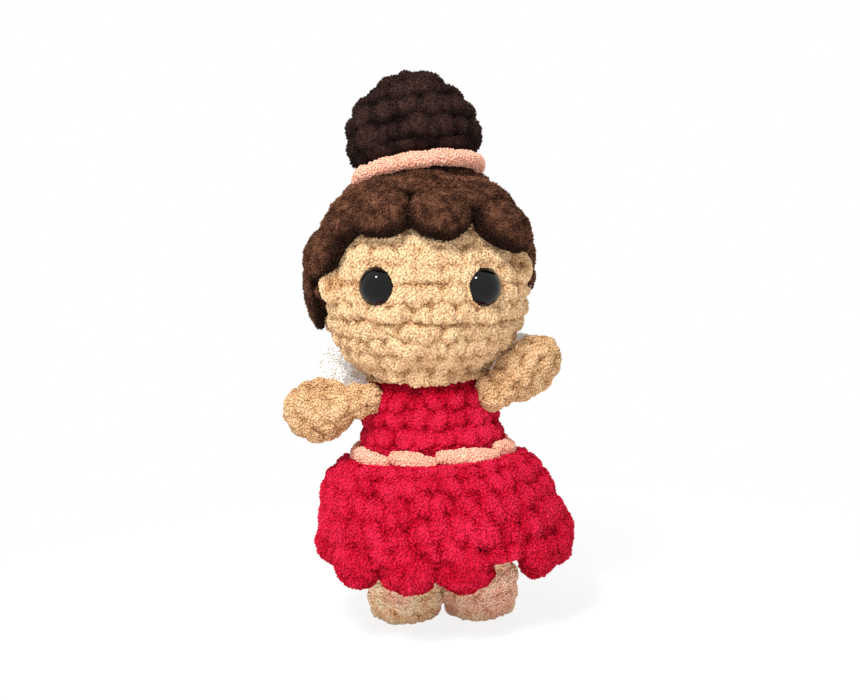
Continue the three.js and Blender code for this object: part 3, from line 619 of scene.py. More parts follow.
def grid_angles(columns, downs):
    """Every pair of an angle round, from minus half a turn, and one of the given angles down, in
    radians."""
    return np.meshgrid(angles(columns, -0.5), np.radians(downs))


EYE_WAYS = [facing(np.radians(side * EYE_AROUND), np.radians(EYE_DOWN)) for side in (-1, 1)]


def from_eyes(way):
    """How far a direction is from the nearer eye's axis, in mm along the head's ball."""
    nearest = np.maximum(way @ EYE_WAYS[0], way @ EYE_WAYS[1])
    return HEAD_RADIUS * np.arccos(np.clip(nearest, -1, 1))


def head_skin():
    """A ball whose radius rises by the stitches' relief, by lumps of two sizes, and by bell curves of the
    distance at the cheek, the chin and round each eye. It falls in the tight rounds, beside the left
    hand, and to the eye's seat within the eye's radius."""
    rim = 180 - math.degrees(math.asin(NECK_HOLE_RADIUS / HEAD_RADIUS))
    downs = np.concatenate([np.linspace(0, 44, 14), np.arange(45, rim, 0.9)])  # coarse under the hair
    around, down = grid_angles(HEAD_COLUMNS, downs)
    row = (np.degrees(down) - FIRST_ROUND) / ROUND_ANGLE
    counts = ball_rounds(HEAD_RADIUS, ROUND_ANGLE)
    relief = stitches(around / FULL_TURN + 0.5, row, counts, 3, wide=0.42, split=0.19)
    way = facing(around, down)
    ball = way * HEAD_RADIUS
    near_eye = from_eyes(way)
    groove = np.zeros(row.shape)
    for at, middle, half, depth in TIGHT:
        wavy = row - at + 0.16 * wander(ball, 7, seed=4)
        ends = 1 - smoothly(np.abs(np.degrees(around) - middle), 0.6 * half, half)
        groove = np.maximum(groove, depth * bell(wavy, GROOVE_WIDE) * ends)
    groove = groove * (0.75 + 0.5 * wander(ball, 5, seed=8)) * smoothly(near_eye, 8.5, 11)
    firm = 0.5 + 0.5 * smoothly(np.degrees(down), 70, 104)
    small = lumps(ball, 3.2, seed=5)
    bead = lumps(ball, 2.0, seed=7)
    radius = HEAD_RADIUS + HEAD_LIFT + HEAD_RISE * firm * (relief - 1) - groove
    radius += SMALL_RISE * firm * (small - 1) + BEAD_RISE * firm * (bead - 1)
    radius += 0.3 * wander(ball, 9, seed=6)
    hanging = bell(np.degrees(down) - CHIN_DOWN, CHIN_WIDE) * smoothly(np.cos(around), 0.68, 0.9)
    hanging = hanging * (0.5 + lumps(ball, 6, seed=9))
    radius += CHIN_HANG * hanging
    cheek = facing(*np.radians(CHEEK))
    radius += CHEEK_RISE * bell(np.arccos(np.clip(way @ cheek, -1, 1)) * HEAD_RADIUS, CHEEK_WIDE)
    radius += EYE_RIM_RISE * bell(near_eye - EYE_RIM_FROM, EYE_RIM_WIDE)
    radius = np.maximum(radius, HEAD_RADIUS - 0.4 - 2 * smoothly(near_eye, 7.5, 9))
    beside = ((np.degrees(around) - HAND_AROUND) / 32) ** 2 + ((np.degrees(down) - HAND_DOWN) / 12) ** 2
    radius -= HAND_ROOM * np.exp(-beside)
    seated = np.minimum(radius, EYE_SEAT - 0.2)
    radius = mix(seated, radius, smoothly(near_eye, EYE_RADIUS - 1.1, EYE_RADIUS - 0.1))
    # The shade is painted: darker in the grooves between stitches, lumps and beads, in the tight rounds
    # and under the lumps that hang at the chin, as the shade that falls there.
    shade = (0.05 + 0.5 * relief + 0.25 * small + 0.4 * bead - 0.12 * hanging) * (1 - 0.5 * groove)
    shade = shade * mix(0.75, 1, smoothly(relief, 0.05, 0.4))
    inside = facing(*grid_angles(HEAD_COLUMNS, np.linspace(rim, 0, 12))) * (HEAD_RADIUS - FABRIC)
    grid = np.concatenate([way * radius[..., None], inside])
    return grid, np.concatenate([shade, np.full(inside.shape[:2], 0.5)])


def on_face(places):
    """1 on the outer skin of the head, 0 inside it, under the eyes and under the hair cap."""
    own = (places - HEAD_CENTRE) @ HEAD_AXES
    far = np.linalg.norm(own, axis=1)
    front = own[:, 1] < 16 + 20 * smoothly(-own[:, 2], 0, 25)
    clear = from_eyes(own / far[:, None]) > EYE_RADIUS - 0.4
    return (far > HEAD_RADIUS - 4) * (own[:, 2] < 26) * front * clear


head_grid, head_shade = head_skin()
head_net = net_of(set_at(head_grid, HEAD_AXES, HEAD_CENTRE), head_shade)
chenille("head", head_net, SKIN, Pile(1.5, 0.5, 1.45, 0.4), "head", 11, on_face,
         replaces=["head_shell"], fill=0.9)

# %% [markdown]
# ## Eyes and ears
#
# A safety eye is a moulded dome on a shank that a washer holds inside the head. Its profile is turned
# round the eye's axis. An ear is a small shell of yarn: an oval with a hollow that faces forwards and
# outwards.

# %% Eyes
SHANK_RADIUS, SHANK_LENGTH, DOME_HEIGHT = 2.2, 14.0, 5.0


def turned_about(profile, way, columns):
    """A profile of radii and heights turned round an axis through the origin: height along it, radius
    across it."""
    across = np.cross(way, (0, 0, 1.0))
    across /= np.linalg.norm(across)
    other = np.cross(way, across)
    angle = angles(columns)
    spoke = np.cos(angle)[:, None] * across + np.sin(angle)[:, None] * other
    return profile[:, None, :1] * spoke[None] + profile[:, None, 1:] * way


def eye_profile():
    """From the shank's end out to the rim, round it, and up the dome, a part of a ball."""
    ball = (EYE_RADIUS**2 + DOME_HEIGHT**2) / (2 * DOME_HEIGHT)
    angle = np.linspace(math.asin(EYE_RADIUS / ball), 0, 30)
    dome = np.stack([ball * np.sin(angle), EYE_SEAT + DOME_HEIGHT - ball + ball * np.cos(angle)], axis=1)
    foot, seat = EYE_SEAT - SHANK_LENGTH, EYE_SEAT - 0.01
    back = [[0, foot], [SHANK_RADIUS, foot], [SHANK_RADIUS, seat], [EYE_RADIUS - 0.3, seat]]
    return np.vstack([back, dome])


for side, way in zip(("right", "left"), EYE_WAYS):
    eye_grid = set_at(turned_about(eye_profile(), way, 72), HEAD_AXES, HEAD_CENTRE)
    piece(f"{side}_eye_dome", net_of(eye_grid, 0.5), EYE, "head", "eye_plastic", [f"{side}_eye"])
    washer = bpy.data.objects[f"{side}_eye_washer"]
    for held in washer.material_slots:
        held.material = WASHER

# %% Ears
EAR_HALVES = np.array([4.7, 4.4, 5.9])  # outwards, forwards and upwards
EAR_HOLLOW = np.array([0.8, 0.58, 0.12])  # the direction that the hollow faces, in the same order
EARS = {"right": (-61, 86.5), "left": (59.5, 76)}  # degrees round from the face's middle, and down


def ear_skin(side, around, down):
    """An oval ball on the head's surface, dented in the direction of its hollow by a bell curve of the
    angle from it, with a rim raised round the dent. Its shade is painted darker in the hollow and where it
    meets the head, as shade, and paler on the rim, as light."""
    out = facing(np.radians(around), np.radians(down))
    fore = np.cross(out, (0, 0, side))
    fore /= np.linalg.norm(fore)
    rise = np.cross(out, fore) * -side
    way = facing(*grid_angles(96, np.linspace(0, 180, 50)))
    away = np.arccos(np.clip(way @ (EAR_HOLLOW / np.linalg.norm(EAR_HOLLOW)), -1, 1))
    dent, rim = bell(away, 0.55), bell(away - 1.0, 0.3)
    small = lumps(way * 7, 2.6, seed=31 + side)
    size = 1 - 0.62 * dent + 0.08 * rim + 0.08 * small
    own = way * EAR_HALVES * size[..., None]
    grid = own @ np.stack([out, fore, rise]) + out * (HEAD_RADIUS - 0.6)
    return grid, (0.45 + 0.4 * small - 0.8 * dent + 0.3 * rim) * smoothly(own[..., 0], -0.5, 2.5)


for word, side in (("right", -1), ("left", 1)):
    ear_grid, ear_shade = ear_skin(side, *EARS[word])
    ear_net = net_of(set_at(ear_grid, HEAD_AXES, HEAD_CENTRE), np.clip(ear_shade, 0, 1))
    chenille(f"{word}_ear_shell", ear_net, SKIN, Pile(2.2, 0.45, 1.2, 0.4), "head", 40 + side,
             replaces=[f"{word}_ear"])

# %% [markdown]
# ## Hair cap and fringe
#
# The hair is a cap worked like the head, one yarn further out. Its edge hangs down behind to the nape and
# ends in front in a fringe. The fringe's lobes are fat loops of yarn, made here as pads that are bent
# over the cap.

# %% The hair cap
HAIR_INSIDE = 38.95
HAIR_COLUMNS = 340
HAIR_ROUND_ANGLE, HAIR_STITCH_WIDTH = 9.2, 11  # in degrees down from the crown, and in mm
HAIR_RISE, STRAND_RISE, CREASE_DEEP = 2.6, 0.8, 1.6  # of its stitches, its lumps and round the lobes
EAR_DRAW, EAR_TURN = 2.2, math.radians(92)  # how far it is drawn in behind the left ear, and where
LIP_ANGLE, NEARLY_EDGE = 0.07, 0.92  # where the edge's rounding begins, and where the rows draw close
EDGE = [  # degrees round from the middle of the face, and degrees down from the crown
    (-180, 138), (-135, 127), (-96, 114), (-80, 112), (-73, 108), (-68, 97), (-62, 84), (-54, 76),
    (-43, 63), (-36, 58), (-23, 55), (-12, 48), (4, 55), (22, 54), (31, 59), (38, 65), (47, 66),
    (53, 64), (60, 64), (64, 70), (68, 84), (72, 93), (90, 96), (110, 106), (135, 124), (180, 138),
]
LOBES = [  # around, down, half width, half height, rise above the cap, tilt
    (-29.4, 54.2, 10.6, 8.6, 5.2, -4), (4.2, 53.9, 10.4, 8.9, 5.5, -16), (45, 60.8, 12.4, 8.2, 4.9, -20),
    (-54, 58, 9.6, 8.2, 3.5, 32), (-65, 76, 11, 8.4, 3.9, 40), (20.5, 44.5, 11.5, 5.2, 2.5, -12),
    (46, 44.5, 12, 5.6, 2.3, -20), (-6, 36.5, 15, 5.4, 3.3, 2), (-45, 40, 10, 5.2, 1.3, 22),
    (-84, 97, 9, 13, 0.8, 0),
]


def hair_edge(around):
    """The angle down to the cap's edge: the average of the straight line through the listed places over 6
    degrees."""
    at, down = np.array(EDGE, float).T
    turns = [np.interp(np.degrees(around) + step, at, down, period=360) for step in (-3, -1.5, 0, 1.5, 3)]
    return np.radians(np.mean(turns, axis=0))


def lobe_reach(around, down):
    """How far a place on the cap is from the nearest lobe: 0 at the lobe's middle, 1 on its rim, measured
    in its own half width and half height."""
    nearest = np.full(around.shape, 9.0)
    for at, level, wide, high, _, tilt in LOBES:
        east = (around - math.radians(at)) * math.sin(math.radians(level)) * HAIR_RADIUS
        north = (math.radians(level) - down) * HAIR_RADIUS
        c, s = math.cos(math.radians(tilt)), math.sin(math.radians(tilt))
        aside, above = c * east + s * north, c * north - s * east
        nearest = np.minimum(nearest, np.hypot(aside / wide, above / high))
    return nearest


def hair_skin():
    """Rows from the crown to the edge outside, rounded there, then back to the crown inside. The relief
    is wide low stitches with lumps between, as strands that lie round the head. It is creased round each
    lobe of the fringe, and drawn in behind the left ear."""
    last = NEARLY_EDGE + 0.08 * np.sin(np.linspace(0, np.pi / 2, 12))
    share = np.concatenate([np.linspace(0, NEARLY_EDGE, 104)[:-1], last])
    around, share = np.meshgrid(angles(HAIR_COLUMNS, -0.5), share)
    edge = hair_edge(around)
    down = edge * share
    way = facing(around, down)
    sway = 0.5 * wander(way * HAIR_RADIUS, 16, seed=20)
    row = np.degrees(down) / HAIR_ROUND_ANGLE + sway
    counts = ball_rounds(HAIR_RADIUS, HAIR_ROUND_ANGLE, HAIR_STITCH_WIDTH)
    relief = stitches(around / FULL_TURN + 0.5, row, counts, seed=21, wide=0.5, tall=0.6, lean=0.12)
    small = lumps(way * HAIR_RADIUS, 3.4, seed=22)
    reach = lobe_reach(around, down)
    crease = bell(reach - 1.02, 0.14)
    outer = HAIR_RADIUS + 0.3 + HAIR_RISE * (relief - 1) + STRAND_RISE * (small - 1) - CREASE_DEEP * crease
    drawn = EAR_DRAW * smoothly(np.cos(around - EAR_TURN), 0.6, 0.95) * smoothly(down, 1.0, 1.5)
    outer = np.maximum(outer - drawn, HAIR_INSIDE + 0.7)
    lip = np.clip((down - edge + LIP_ANGLE) / LIP_ANGLE, 0, 1)
    radius = mix(HAIR_INSIDE, outer, np.sqrt(1 - lip**2))
    outside = way * radius[..., None] + HAIR_CENTRE
    back_down = edge[0] * np.linspace(1, 0, 12)[:, None]
    inside_way = facing(np.broadcast_to(around[0], back_down.shape), back_down)
    inside = inside_way * HAIR_INSIDE + HAIR_CENTRE
    # The shade is painted: darker in the grooves, in the creases round the lobes and on the lip where the
    # edge turns under, as the shade that falls there.
    shade = (0.15 + 0.55 * relief + 0.35 * small - 0.25 * lip) * (1 - 0.8 * crease)
    shade = np.concatenate([shade, np.full(back_down.shape, 0.3)])
    return np.concatenate([outside, inside]), np.clip(shade, 0, 1)


def on_hair(places):
    """1 on the outside of the cap, 0 on its inside and under the bun."""
    own = (places - HEAD_CENTRE) @ HEAD_AXES - HAIR_CENTRE
    under_bun = np.hypot(own[:, 0] + 4, own[:, 1]) < 17
    return (np.linalg.norm(own, axis=1) > HAIR_INSIDE + 0.7) * ~(under_bun & (own[:, 2] > 30))


hair_grid, hair_shade = hair_skin()
hair_net = net_of(set_at(hair_grid, HEAD_AXES, HEAD_CENTRE), hair_shade)
chenille("hair", hair_net, HAIR, Pile(1.25, 0.7, 0.78, 1.5), "head", 23, on_hair, replaces=["hair_cap"])

# %% The fringe's lobes
PAD_COLUMNS, PAD_ROWS = 86, 46


def pad(way, centre, far, halves, tilt, seed, rise=0.9, deep=0.15):
    """An oval pad outside a ball about centre, far from it in the direction way. halves are its half
    width, half height and half thickness, tilt turns it on the ball, and it bends down over the ball with
    the square of the distance from its middle. Its lumps rise from it, and its shade is painted darker
    towards its rim, down to deep times its own, as the shade round its edge."""
    east = np.cross((0, 0, 1.0), way)
    east /= np.linalg.norm(east)
    north = np.cross(way, east)
    c, s = math.cos(math.radians(tilt)), math.sin(math.radians(tilt))
    east, north = c * east + s * north, c * north - s * east
    own = facing(*grid_angles(PAD_COLUMNS, np.linspace(0, 180, PAD_ROWS)))
    full = np.abs(own) ** 0.94 * np.sign(own)  # a little squarer than an oval
    x, y, z = full[..., 0] * halves[0], -full[..., 1] * halves[2], full[..., 2] * halves[1]
    sunk = (x**2 + z**2) / (2 * far)
    grid = centre + east * x[..., None] + north * z[..., None] + way * (far + y - sunk)[..., None]
    small = lumps(grid, 4.2, seed)
    finer = lumps(grid, 2.2, seed + 5)
    top = mix(deep, 1, smoothly(-own[..., 1], 0.15, 0.65))
    return raised(grid, rise * (small - 0.5) + 0.4 * finer), (0.45 * small + 0.4 * finer) * top


lobes = []
for k, (around, down, wide, high, tall, tilt) in enumerate(LOBES):
    way = facing(np.radians(around), np.radians(down))
    grid, shade = pad(way, HAIR_CENTRE, HAIR_RADIUS - 0.9, (wide, high, tall + 0.8), tilt, 50 + 7 * k)
    lobes.append(net_of(set_at(grid, HEAD_AXES, HEAD_CENTRE), shade))


def off_head(places):
    """1 where a lobe shows, 0 where it lies in the cap or against the head."""
    own = (places - HEAD_CENTRE) @ HEAD_AXES
    from_cap = np.linalg.norm(own - HAIR_CENTRE, axis=1)
    return (from_cap > HAIR_RADIUS - 2.5) * (np.linalg.norm(own, axis=1) > 39)


chenille("fringe", together(lobes), HAIR, Pile(1.7, 0.7, 0.7, 1.5), "head", 24, off_head)

# %% [markdown]
# ## Bun and band
#
# The bun is a stuffed dome, drawn in at its foot by a ring of thin yarn. Its rounds lie one above the
# other, so its outline is scalloped. The band round that foot and the sash round the waist are each one
# round of chain stitches: a closed ring whose section swells and thins once for each stitch.

# %% The bun
BUN_RADIUS, BUN_HEIGHT, BUN_FOOT, BAND_WIDTH = 25.5, 37.3, 19.7, 5.6


def bun_outline(steps, inset=0.0):
    """Radii and heights: a quarter circle down from the top, then a wall that narrows smoothly at the
    band."""
    shoulder = BUN_HEIGHT - BUN_RADIUS
    angle = np.linspace(0, np.pi / 2, int(steps * 0.62))
    ball = BUN_RADIUS - inset
    dome = np.stack([ball * np.sin(angle), shoulder + ball * np.cos(angle)], axis=1)
    z = np.linspace(shoulder, -BAND_WIDTH, steps - len(dome) + 1)[1:]
    tied = smoothly(z, BAND_WIDTH * 0.45, BAND_WIDTH * 1.15)
    wall = mix(BUN_FOOT, BUN_RADIUS - 1.2 * (1 - smoothly(z, 0, shoulder)), tied) - inset
    return np.vstack([dome, np.stack([wall, z], axis=1), [[0, -BAND_WIDTH]]])


def lathed(outline, columns):
    """A grid that turns an outline of radii and heights once round the upright axis, and each column's
    angle."""
    angle = angles(columns)
    spoke = np.stack([np.cos(angle), np.sin(angle), 0 * angle], axis=-1)
    grid = outline[:, None, :1] * spoke + outline[:, None, 1:] * np.array([0, 0, 1.0])
    return grid, np.broadcast_to(angle, grid.shape[:2])


def along(outline):
    """The distance run along an outline up to each of its points."""
    steps = np.hypot(*np.diff(outline, axis=0).T)
    return np.concatenate([[0], np.cumsum(steps)])


def worked(outline, columns, row_height, seed, rise, width=STITCH_WIDTH, **shape):
    """A lathed grid with rows of stitches raised from it, and its shade, painted darker in the grooves and
    between the lumps as shade.
    """
    grid, angle = lathed(outline, columns)
    run = along(outline)
    row = run / row_height
    middles = np.arange(int(row[-1]) + 2) + 0.5
    counts = rounds(np.interp(middles * row_height, run, outline[:, 0]), width)
    row = np.broadcast_to(row[:, None], angle.shape)
    relief = stitches(angle / FULL_TURN, row, counts, seed, **shape)
    small = lumps(grid, 2.9, seed + 1)
    slow = wander(grid, 11, seed + 2)
    ends = smoothly(outline[:, :1], 0, 2)
    height = rise * (relief - 1) + 0.5 * (small - 1) + 0.4 * slow - 0.3
    return raised(grid, ends * height), 0.75 * relief + 0.3 * small


bun_grid, bun_shade = worked(bun_outline(96), 260, 9.0, 61, 3.0, width=10, wide=0.5, tall=0.58, lean=0.1)
bun_net = net_of(set_at(bun_grid, BUN_AXES, BUN_CENTRE), bun_shade)


def bun_showing(places):
    """1 above the band."""
    return ((places - BUN_CENTRE) @ BUN_AXES)[:, 2] > -1.5


chenille("bun", bun_net, BUN, Pile(1.4, 0.7, 0.75, 1.4), "head", 62, bun_showing,
         replaces=["bun_shell"], fill=0.8)

# %% The band and the sash
BAND_RADIUS, SASH_RADIUS = 22.0, 28.2
BAND_JOINTS = np.arange(12) * 30.0 + 8  # where one chain stitch goes under the next, in degrees
SASH_JOINTS = [15, 52, 90, 126, 160, 195, 237.4, 272.6, 323.1]
CORD_PILE = Pile(2.0, 0.6, 1.05, 0.9)


def strand_ring(radius, depth, width, joints, overlap, seed, columns=360, rows=26, slope=0.0):
    """A chain round an axis. joints are the angles where one stitch goes under the next. A stitch's
    section swells from its ends to its middle with the root of a sine, and slope makes it climb from one
    end to the other."""
    angle = angles(columns)
    joints = np.sort(np.radians(joints))
    at = np.searchsorted(joints, angle, side="right") - 1
    start = joints[at]
    length = np.mod(np.roll(joints, -1)[at] - start, FULL_TURN)
    part = np.mod(angle - start, FULL_TURN) / length
    swell = (1 - overlap) + overlap * np.sqrt(np.abs(np.sin(np.pi * part)))
    section = angles(rows)
    out = radius + depth / 2 * swell[None] * np.cos(section)[:, None]
    up = width / 2 * swell[None] * np.sin(section)[:, None] + slope * (0.5 - part)[None]
    grid = np.stack([out * np.cos(angle), out * np.sin(angle), up], axis=-1)
    small = lumps(grid, 2.8, seed)
    slow = wander(grid, 7, seed + 1)
    # The shade is painted darker between the lumps and where a stitch thins at its joints, as the shade
    # there.
    return raised(grid, 0.6 * (small - 1) + 0.4 * slow, ring=True), 0.2 + 0.4 * small + 0.35 * swell[None]


band_grid, band_shade = strand_ring(BAND_RADIUS, 5.0, 5.4, BAND_JOINTS, 0.12, 71, slope=0.5)
band_net = net_of(set_at(band_grid, BUN_AXES, BUN_CENTRE), band_shade, ring=True)
chenille("bun_band", band_net, PINK, CORD_PILE, "head", 72, replaces=["hair_band"])

sash_grid, sash_shade = strand_ring(SASH_RADIUS, 5.2, 6.5, SASH_JOINTS, 0.5, 75, slope=2.8)
sash_net = net_of(set_at(sash_grid, UPRIGHT, SHIFT + (0, 0, WAIST_HEIGHT + 0.2)), sash_shade, ring=True)
chenille("sash_chain", sash_net, PINK, CORD_PILE, "torso", 76, replaces=["sash"])

# %% [markdown]
# ## Body
#
# The body is worked in one with the bodice: rows of crimson from the neck to the waist, and on down under
# the skirt to the legs. It is open at the neck, where its filling meets the head's, and the yarn that
# sews the head on lies round that opening.

# %% The body


def spline(points, samples):
    """A smooth curve through points: between each two, the Catmull-Rom cubic of the four around them."""
    points = np.array(points, float)
    padded = np.vstack([2 * points[0] - points[1], points, 2 * points[-1] - points[-2]])
    place = np.linspace(0, len(points) - 1, samples)
    k = np.minimum(place.astype(int), len(points) - 2)
    t = (place - k)[:, None]
    a, b, c, d = (padded[k + j] for j in range(4))
    bend = (2 * a - 5 * b + 4 * c - d) * t**2 + (3 * b - a - 3 * c + d) * t**3
    return 0.5 * (2 * b + (c - a) * t + bend)


NECK_HEIGHT = HEAD_HEIGHT - math.sqrt(HEAD_RADIUS**2 - 21.8**2)
BODY_BOTTOM = 39
BODY_POINTS = [  # radius and height
    (21.9, NECK_HEIGHT - 1.3), (24.5, 82), (26.4, 72.1), (28, 66.53), (25.8, WAIST_HEIGHT),
    (26.8, 52.32), (24.9, 44.3), (18.8, 40.1), (9, 39.2), (0, BODY_BOTTOM),
]
BODY_COLUMNS = 240
body_outline = spline(BODY_POINTS, 130)[::-1]
lining_radius, lining_height = body_outline[:, 0] - FABRIC, body_outline[:, 1]
lining = np.stack([np.maximum(lining_radius, 0), np.maximum(lining_height, BODY_BOTTOM + FABRIC)], axis=1)
body_grid, body_shade = worked(body_outline, BODY_COLUMNS, 7.0, 81, 2.2, wide=0.45, split=0.17)
lining_grid, _ = lathed(lining[::-10], BODY_COLUMNS)
body_grid = np.concatenate([body_grid, lining_grid[:-1], lining_grid[-1:] * (0, 0, 1)])
body_shade = np.concatenate([body_shade, np.full((len(body_grid) - len(body_shade), BODY_COLUMNS), 0.4)])
# The top rows of the bodice are painted darker, as the shadow that the head casts under the chin.
body_shade = body_shade * (1 - 0.85 * smoothly(body_grid[..., 2], 79.5, 88))
body_net = net_of(set_at(body_grid, UPRIGHT, SHIFT), body_shade)


def bodice_showing(places):
    """1 outside, from the sash to the neck."""
    own = places - SHIFT
    return (own[:, 2] > 62) * (np.hypot(own[:, 0], own[:, 1]) > 20.2) * (own[:, 2] < 89.6)


chenille("body", body_net, DRESS, Pile(1.5, 0.6, 1.25, 0.9), "torso", 82, bodice_showing,
         replaces=["body_shell"], fill=0.85)

SEAM_RADIUS, SEAM_HEIGHT, SEAM_YARN, SEAM_STITCHES = 22.6, 90.0, 1.7, 24
seam_joints = np.arange(SEAM_STITCHES) * (360 / SEAM_STITCHES)
seam_grid, seam_shade = strand_ring(SEAM_RADIUS, SEAM_YARN, SEAM_YARN, seam_joints, 0.3, 85,
                                    columns=240, rows=10)
# The sewing yarn's shade is halved: it is painted darker, as the shade under the chin.
seam_net = net_of(set_at(seam_grid, UPRIGHT, SHIFT + (0, 0, SEAM_HEIGHT)), seam_shade * 0.5, ring=True)
chenille("sewing_yarn", seam_net, SKIN, Pile(2.4, 0.4, 1.1, 0.4), "torso", 86, replaces=["neck_seam"])

# %% [markdown]
# ## Skirt
#
# The skirt hangs from the waist as a bell of the same crimson, worked in the round with more stitches in
# each row. It ends in a row of shells, each a fan of long stitches that swells into a fat rounded lobe.

# %% The bell
SKIRT_POINTS = [  # radius and height
    (28.2, 60.4), (33.2, 60.6), (39.6, 55.6), (43.8, 46.0), (46.6, 33.7), (46.7, 24), (45.8, 17),
]
SKIRT_SWAY, TOP_SWAY = 2.2, -1.0
SKIRT_COLUMNS, SKIRT_RUN, SKIRT_ROW, SKIRT_STITCH = 420, 51, 6.6, 8.4  # the run is the outline's length
FOLD_COUNT, FOLD_DEEP, FOLD_FROM = 3, 1.3, math.radians(14)
WALL_END = 0.76  # where the bell gives way to the shells, as a share of the outline
SKIRT_WALL, WAIST_RADIUS, WAIST_LOW = 4.6, 26.6, 57.5  # its thickness, and its inner edge at the waist
SKIRT_RISE, SKIRT_LUMP, SKIRT_SLOW, HOLE_DEEP = 2.1, 0.9, 0.9, 3.6  # of stitches, lumps, noise and holes
HOLE_WIDE, HOLE_HIGH, HEM_RADIUS = 2.6, 1.9, 46


def skirt_place(angle, share, inset=0.0):
    """A point on the bell: the outline's radius with three soft folds, and the hem swayed to the doll's
    left."""
    curve = spline(SKIRT_POINTS, 400)
    at = np.clip(share, 0, 1) * 399
    radius, z = (np.interp(at, np.arange(400), curve[:, k]) for k in range(2))
    lowered = 1 - smoothly(z, 31, 61)
    radius = radius + FOLD_DEEP * lowered * np.cos(FOLD_COUNT * (angle + FOLD_FROM)) - inset
    x = radius * np.cos(angle) + mix(TOP_SWAY, SKIRT_SWAY, lowered)
    return np.stack([x, radius * np.sin(angle), z], axis=-1)


HOLES = [  # between the last round's stitches: angle from the doll's left, and height
    (235.8, 31.3), (260, 32.0), (287.2, 32.4), (322, 32),
    *((at, 31.5) for at in (347, 19, 46, 75, 103, 131, 159, 186)),
]


def skirt_skin():
    """Down the outside, round the hem and up the inside to the waist, with stitches raised from the
    outside."""
    angle = angles(SKIRT_COLUMNS)
    outer_angle, outer_share = np.meshgrid(angle, np.linspace(0, WALL_END, 78))
    outer = skirt_place(outer_angle, outer_share)
    row = outer_share * SKIRT_RUN / SKIRT_ROW + 0.3 * wander(outer, 14, seed=90)
    widened = smoothly((np.arange(9) + 0.5) * SKIRT_ROW / SKIRT_RUN, 0, 0.7)
    counts = rounds(34 + 13 * widened, SKIRT_STITCH)
    relief = stitches(outer_angle / FULL_TURN, row, counts, 91, wide=0.46, tall=0.68, split=0.17)
    small = lumps(outer, 3.2, seed=92)
    slow = wander(outer, 10, seed=93)
    inner_angle, inner_share = np.meshgrid(angle, np.linspace(WALL_END, 0.2, 14))
    inner = skirt_place(inner_angle, inner_share, SKIRT_WALL)
    edge = np.full(SKIRT_COLUMNS, WAIST_LOW)
    waist = np.stack([WAIST_RADIUS * np.cos(angle), WAIST_RADIUS * np.sin(angle), edge], axis=-1)
    grid = np.concatenate([outer, inner, waist[None], waist[None] + (0, 0, 1.2)])
    bearing = np.degrees(np.arctan2(outer[..., 1], outer[..., 0] - SKIRT_SWAY))
    hole = np.zeros(outer.shape[:2])
    for at, z in HOLES:
        across = np.radians(np.mod(bearing - at + 180, 360) - 180) * HEM_RADIUS
        away = (across / HOLE_WIDE) ** 2 + ((outer[..., 2] - z) / HOLE_HIGH) ** 2
        hole = np.maximum(hole, np.exp(-away))
    height = np.zeros(grid.shape[:2])
    lumpy = SKIRT_RISE * (relief - 1) + SKIRT_LUMP * (small - 1) + SKIRT_SLOW * slow + 0.2
    lumpy = lumpy - HOLE_DEEP * hole
    height[: len(outer)] = lumpy * (0.35 + 0.65 * smoothly(outer_share, 0.05, 0.2))
    # The outside's shade is painted darker in the grooves and in the holes, as the shade in them; the
    # inside is a plain 0.35.
    shade = np.full(grid.shape[:2], 0.35)
    shade[: len(outer)] = (0.05 + 0.65 * relief + 0.25 * small) * (1 - hole)
    return raised(grid, height, ring=True), shade


skirt_grid, skirt_shade = skirt_skin()
skirt_net = net_of(set_at(skirt_grid, UPRIGHT, SHIFT), skirt_shade, ring=True)

# %% The hem's shells
SHELLS_OUT = 43.3  # from the skirt's axis
SHELL_HIGH, SHELL_THICK = 7.0, 4.0  # half of each
SHELLS = [  # angle from the doll's left, height of the lowest point, half width
    (226, 20.2, 9.8), (252.5, 19.6, 9.8), (279, 19.0, 9.8), (320, 19.8, 9.0), (338.5, 21.6, 8.6),
    (2, 22.6, 9.4), (31, 21, 9.8), (60.6, 20.4, 9.8), (88.8, 19.8, 9.8), (117, 19.8, 9.8),
    (145.2, 20.6, 9.8), (173.4, 22.4, 9.4), (200, 25.4, 8.6),
]


def shell_net(degrees, k, bottom, halves, in_by=0.0):
    """One shell: a pad on the hem, set in by a distance and hung so that it ends at a height."""
    angle = np.radians(degrees)
    way = np.array([math.cos(angle), math.sin(angle), 0.0])
    height = bottom + halves[1]
    far = SHELLS_OUT + FOLD_DEEP * math.cos(FOLD_COUNT * (angle + FOLD_FROM)) - in_by
    centre = SHIFT + (SKIRT_SWAY, 0, height)
    # A shell's rim is painted darker down to 0.4 of its shade, less than a lobe's, as the shade round its
    # edge.
    grid, shade = pad(way, centre, far, halves, 5 * (chance(k, seed=9) - 0.5) * 2, 100 + 3 * k, 1.5, 0.4)
    return net_of(grid, shade)


shells = [shell_net(298, 20, 26.5, (6.5, 5, 3.4), in_by=4.5)]  # the small one, up in the notch in front
for k, (degrees, bottom, half) in enumerate(SHELLS):
    shells.append(shell_net(degrees, k, bottom, (half, SHELL_HIGH, SHELL_THICK)))


def skirt_showing(places):
    """1 on the outside of the bell and the shells, a little inside the hem, and 0 under the sash."""
    own = places - SHIFT - (SKIRT_SWAY, 0, 0)
    far = np.hypot(own[:, 0] + (SKIRT_SWAY - TOP_SWAY) * smoothly(own[:, 2], 31, 61), own[:, 1])
    outline = np.interp(own[:, 2], [17, 24, 33.7, 46, 55.4, 60], [45.8, 46.7, 46.6, 43.8, 39.6, 30])
    outside = far > outline - 4.2
    return outside * (own[:, 2] < 60.5) + 0.15 * ~outside * (own[:, 2] < 32)


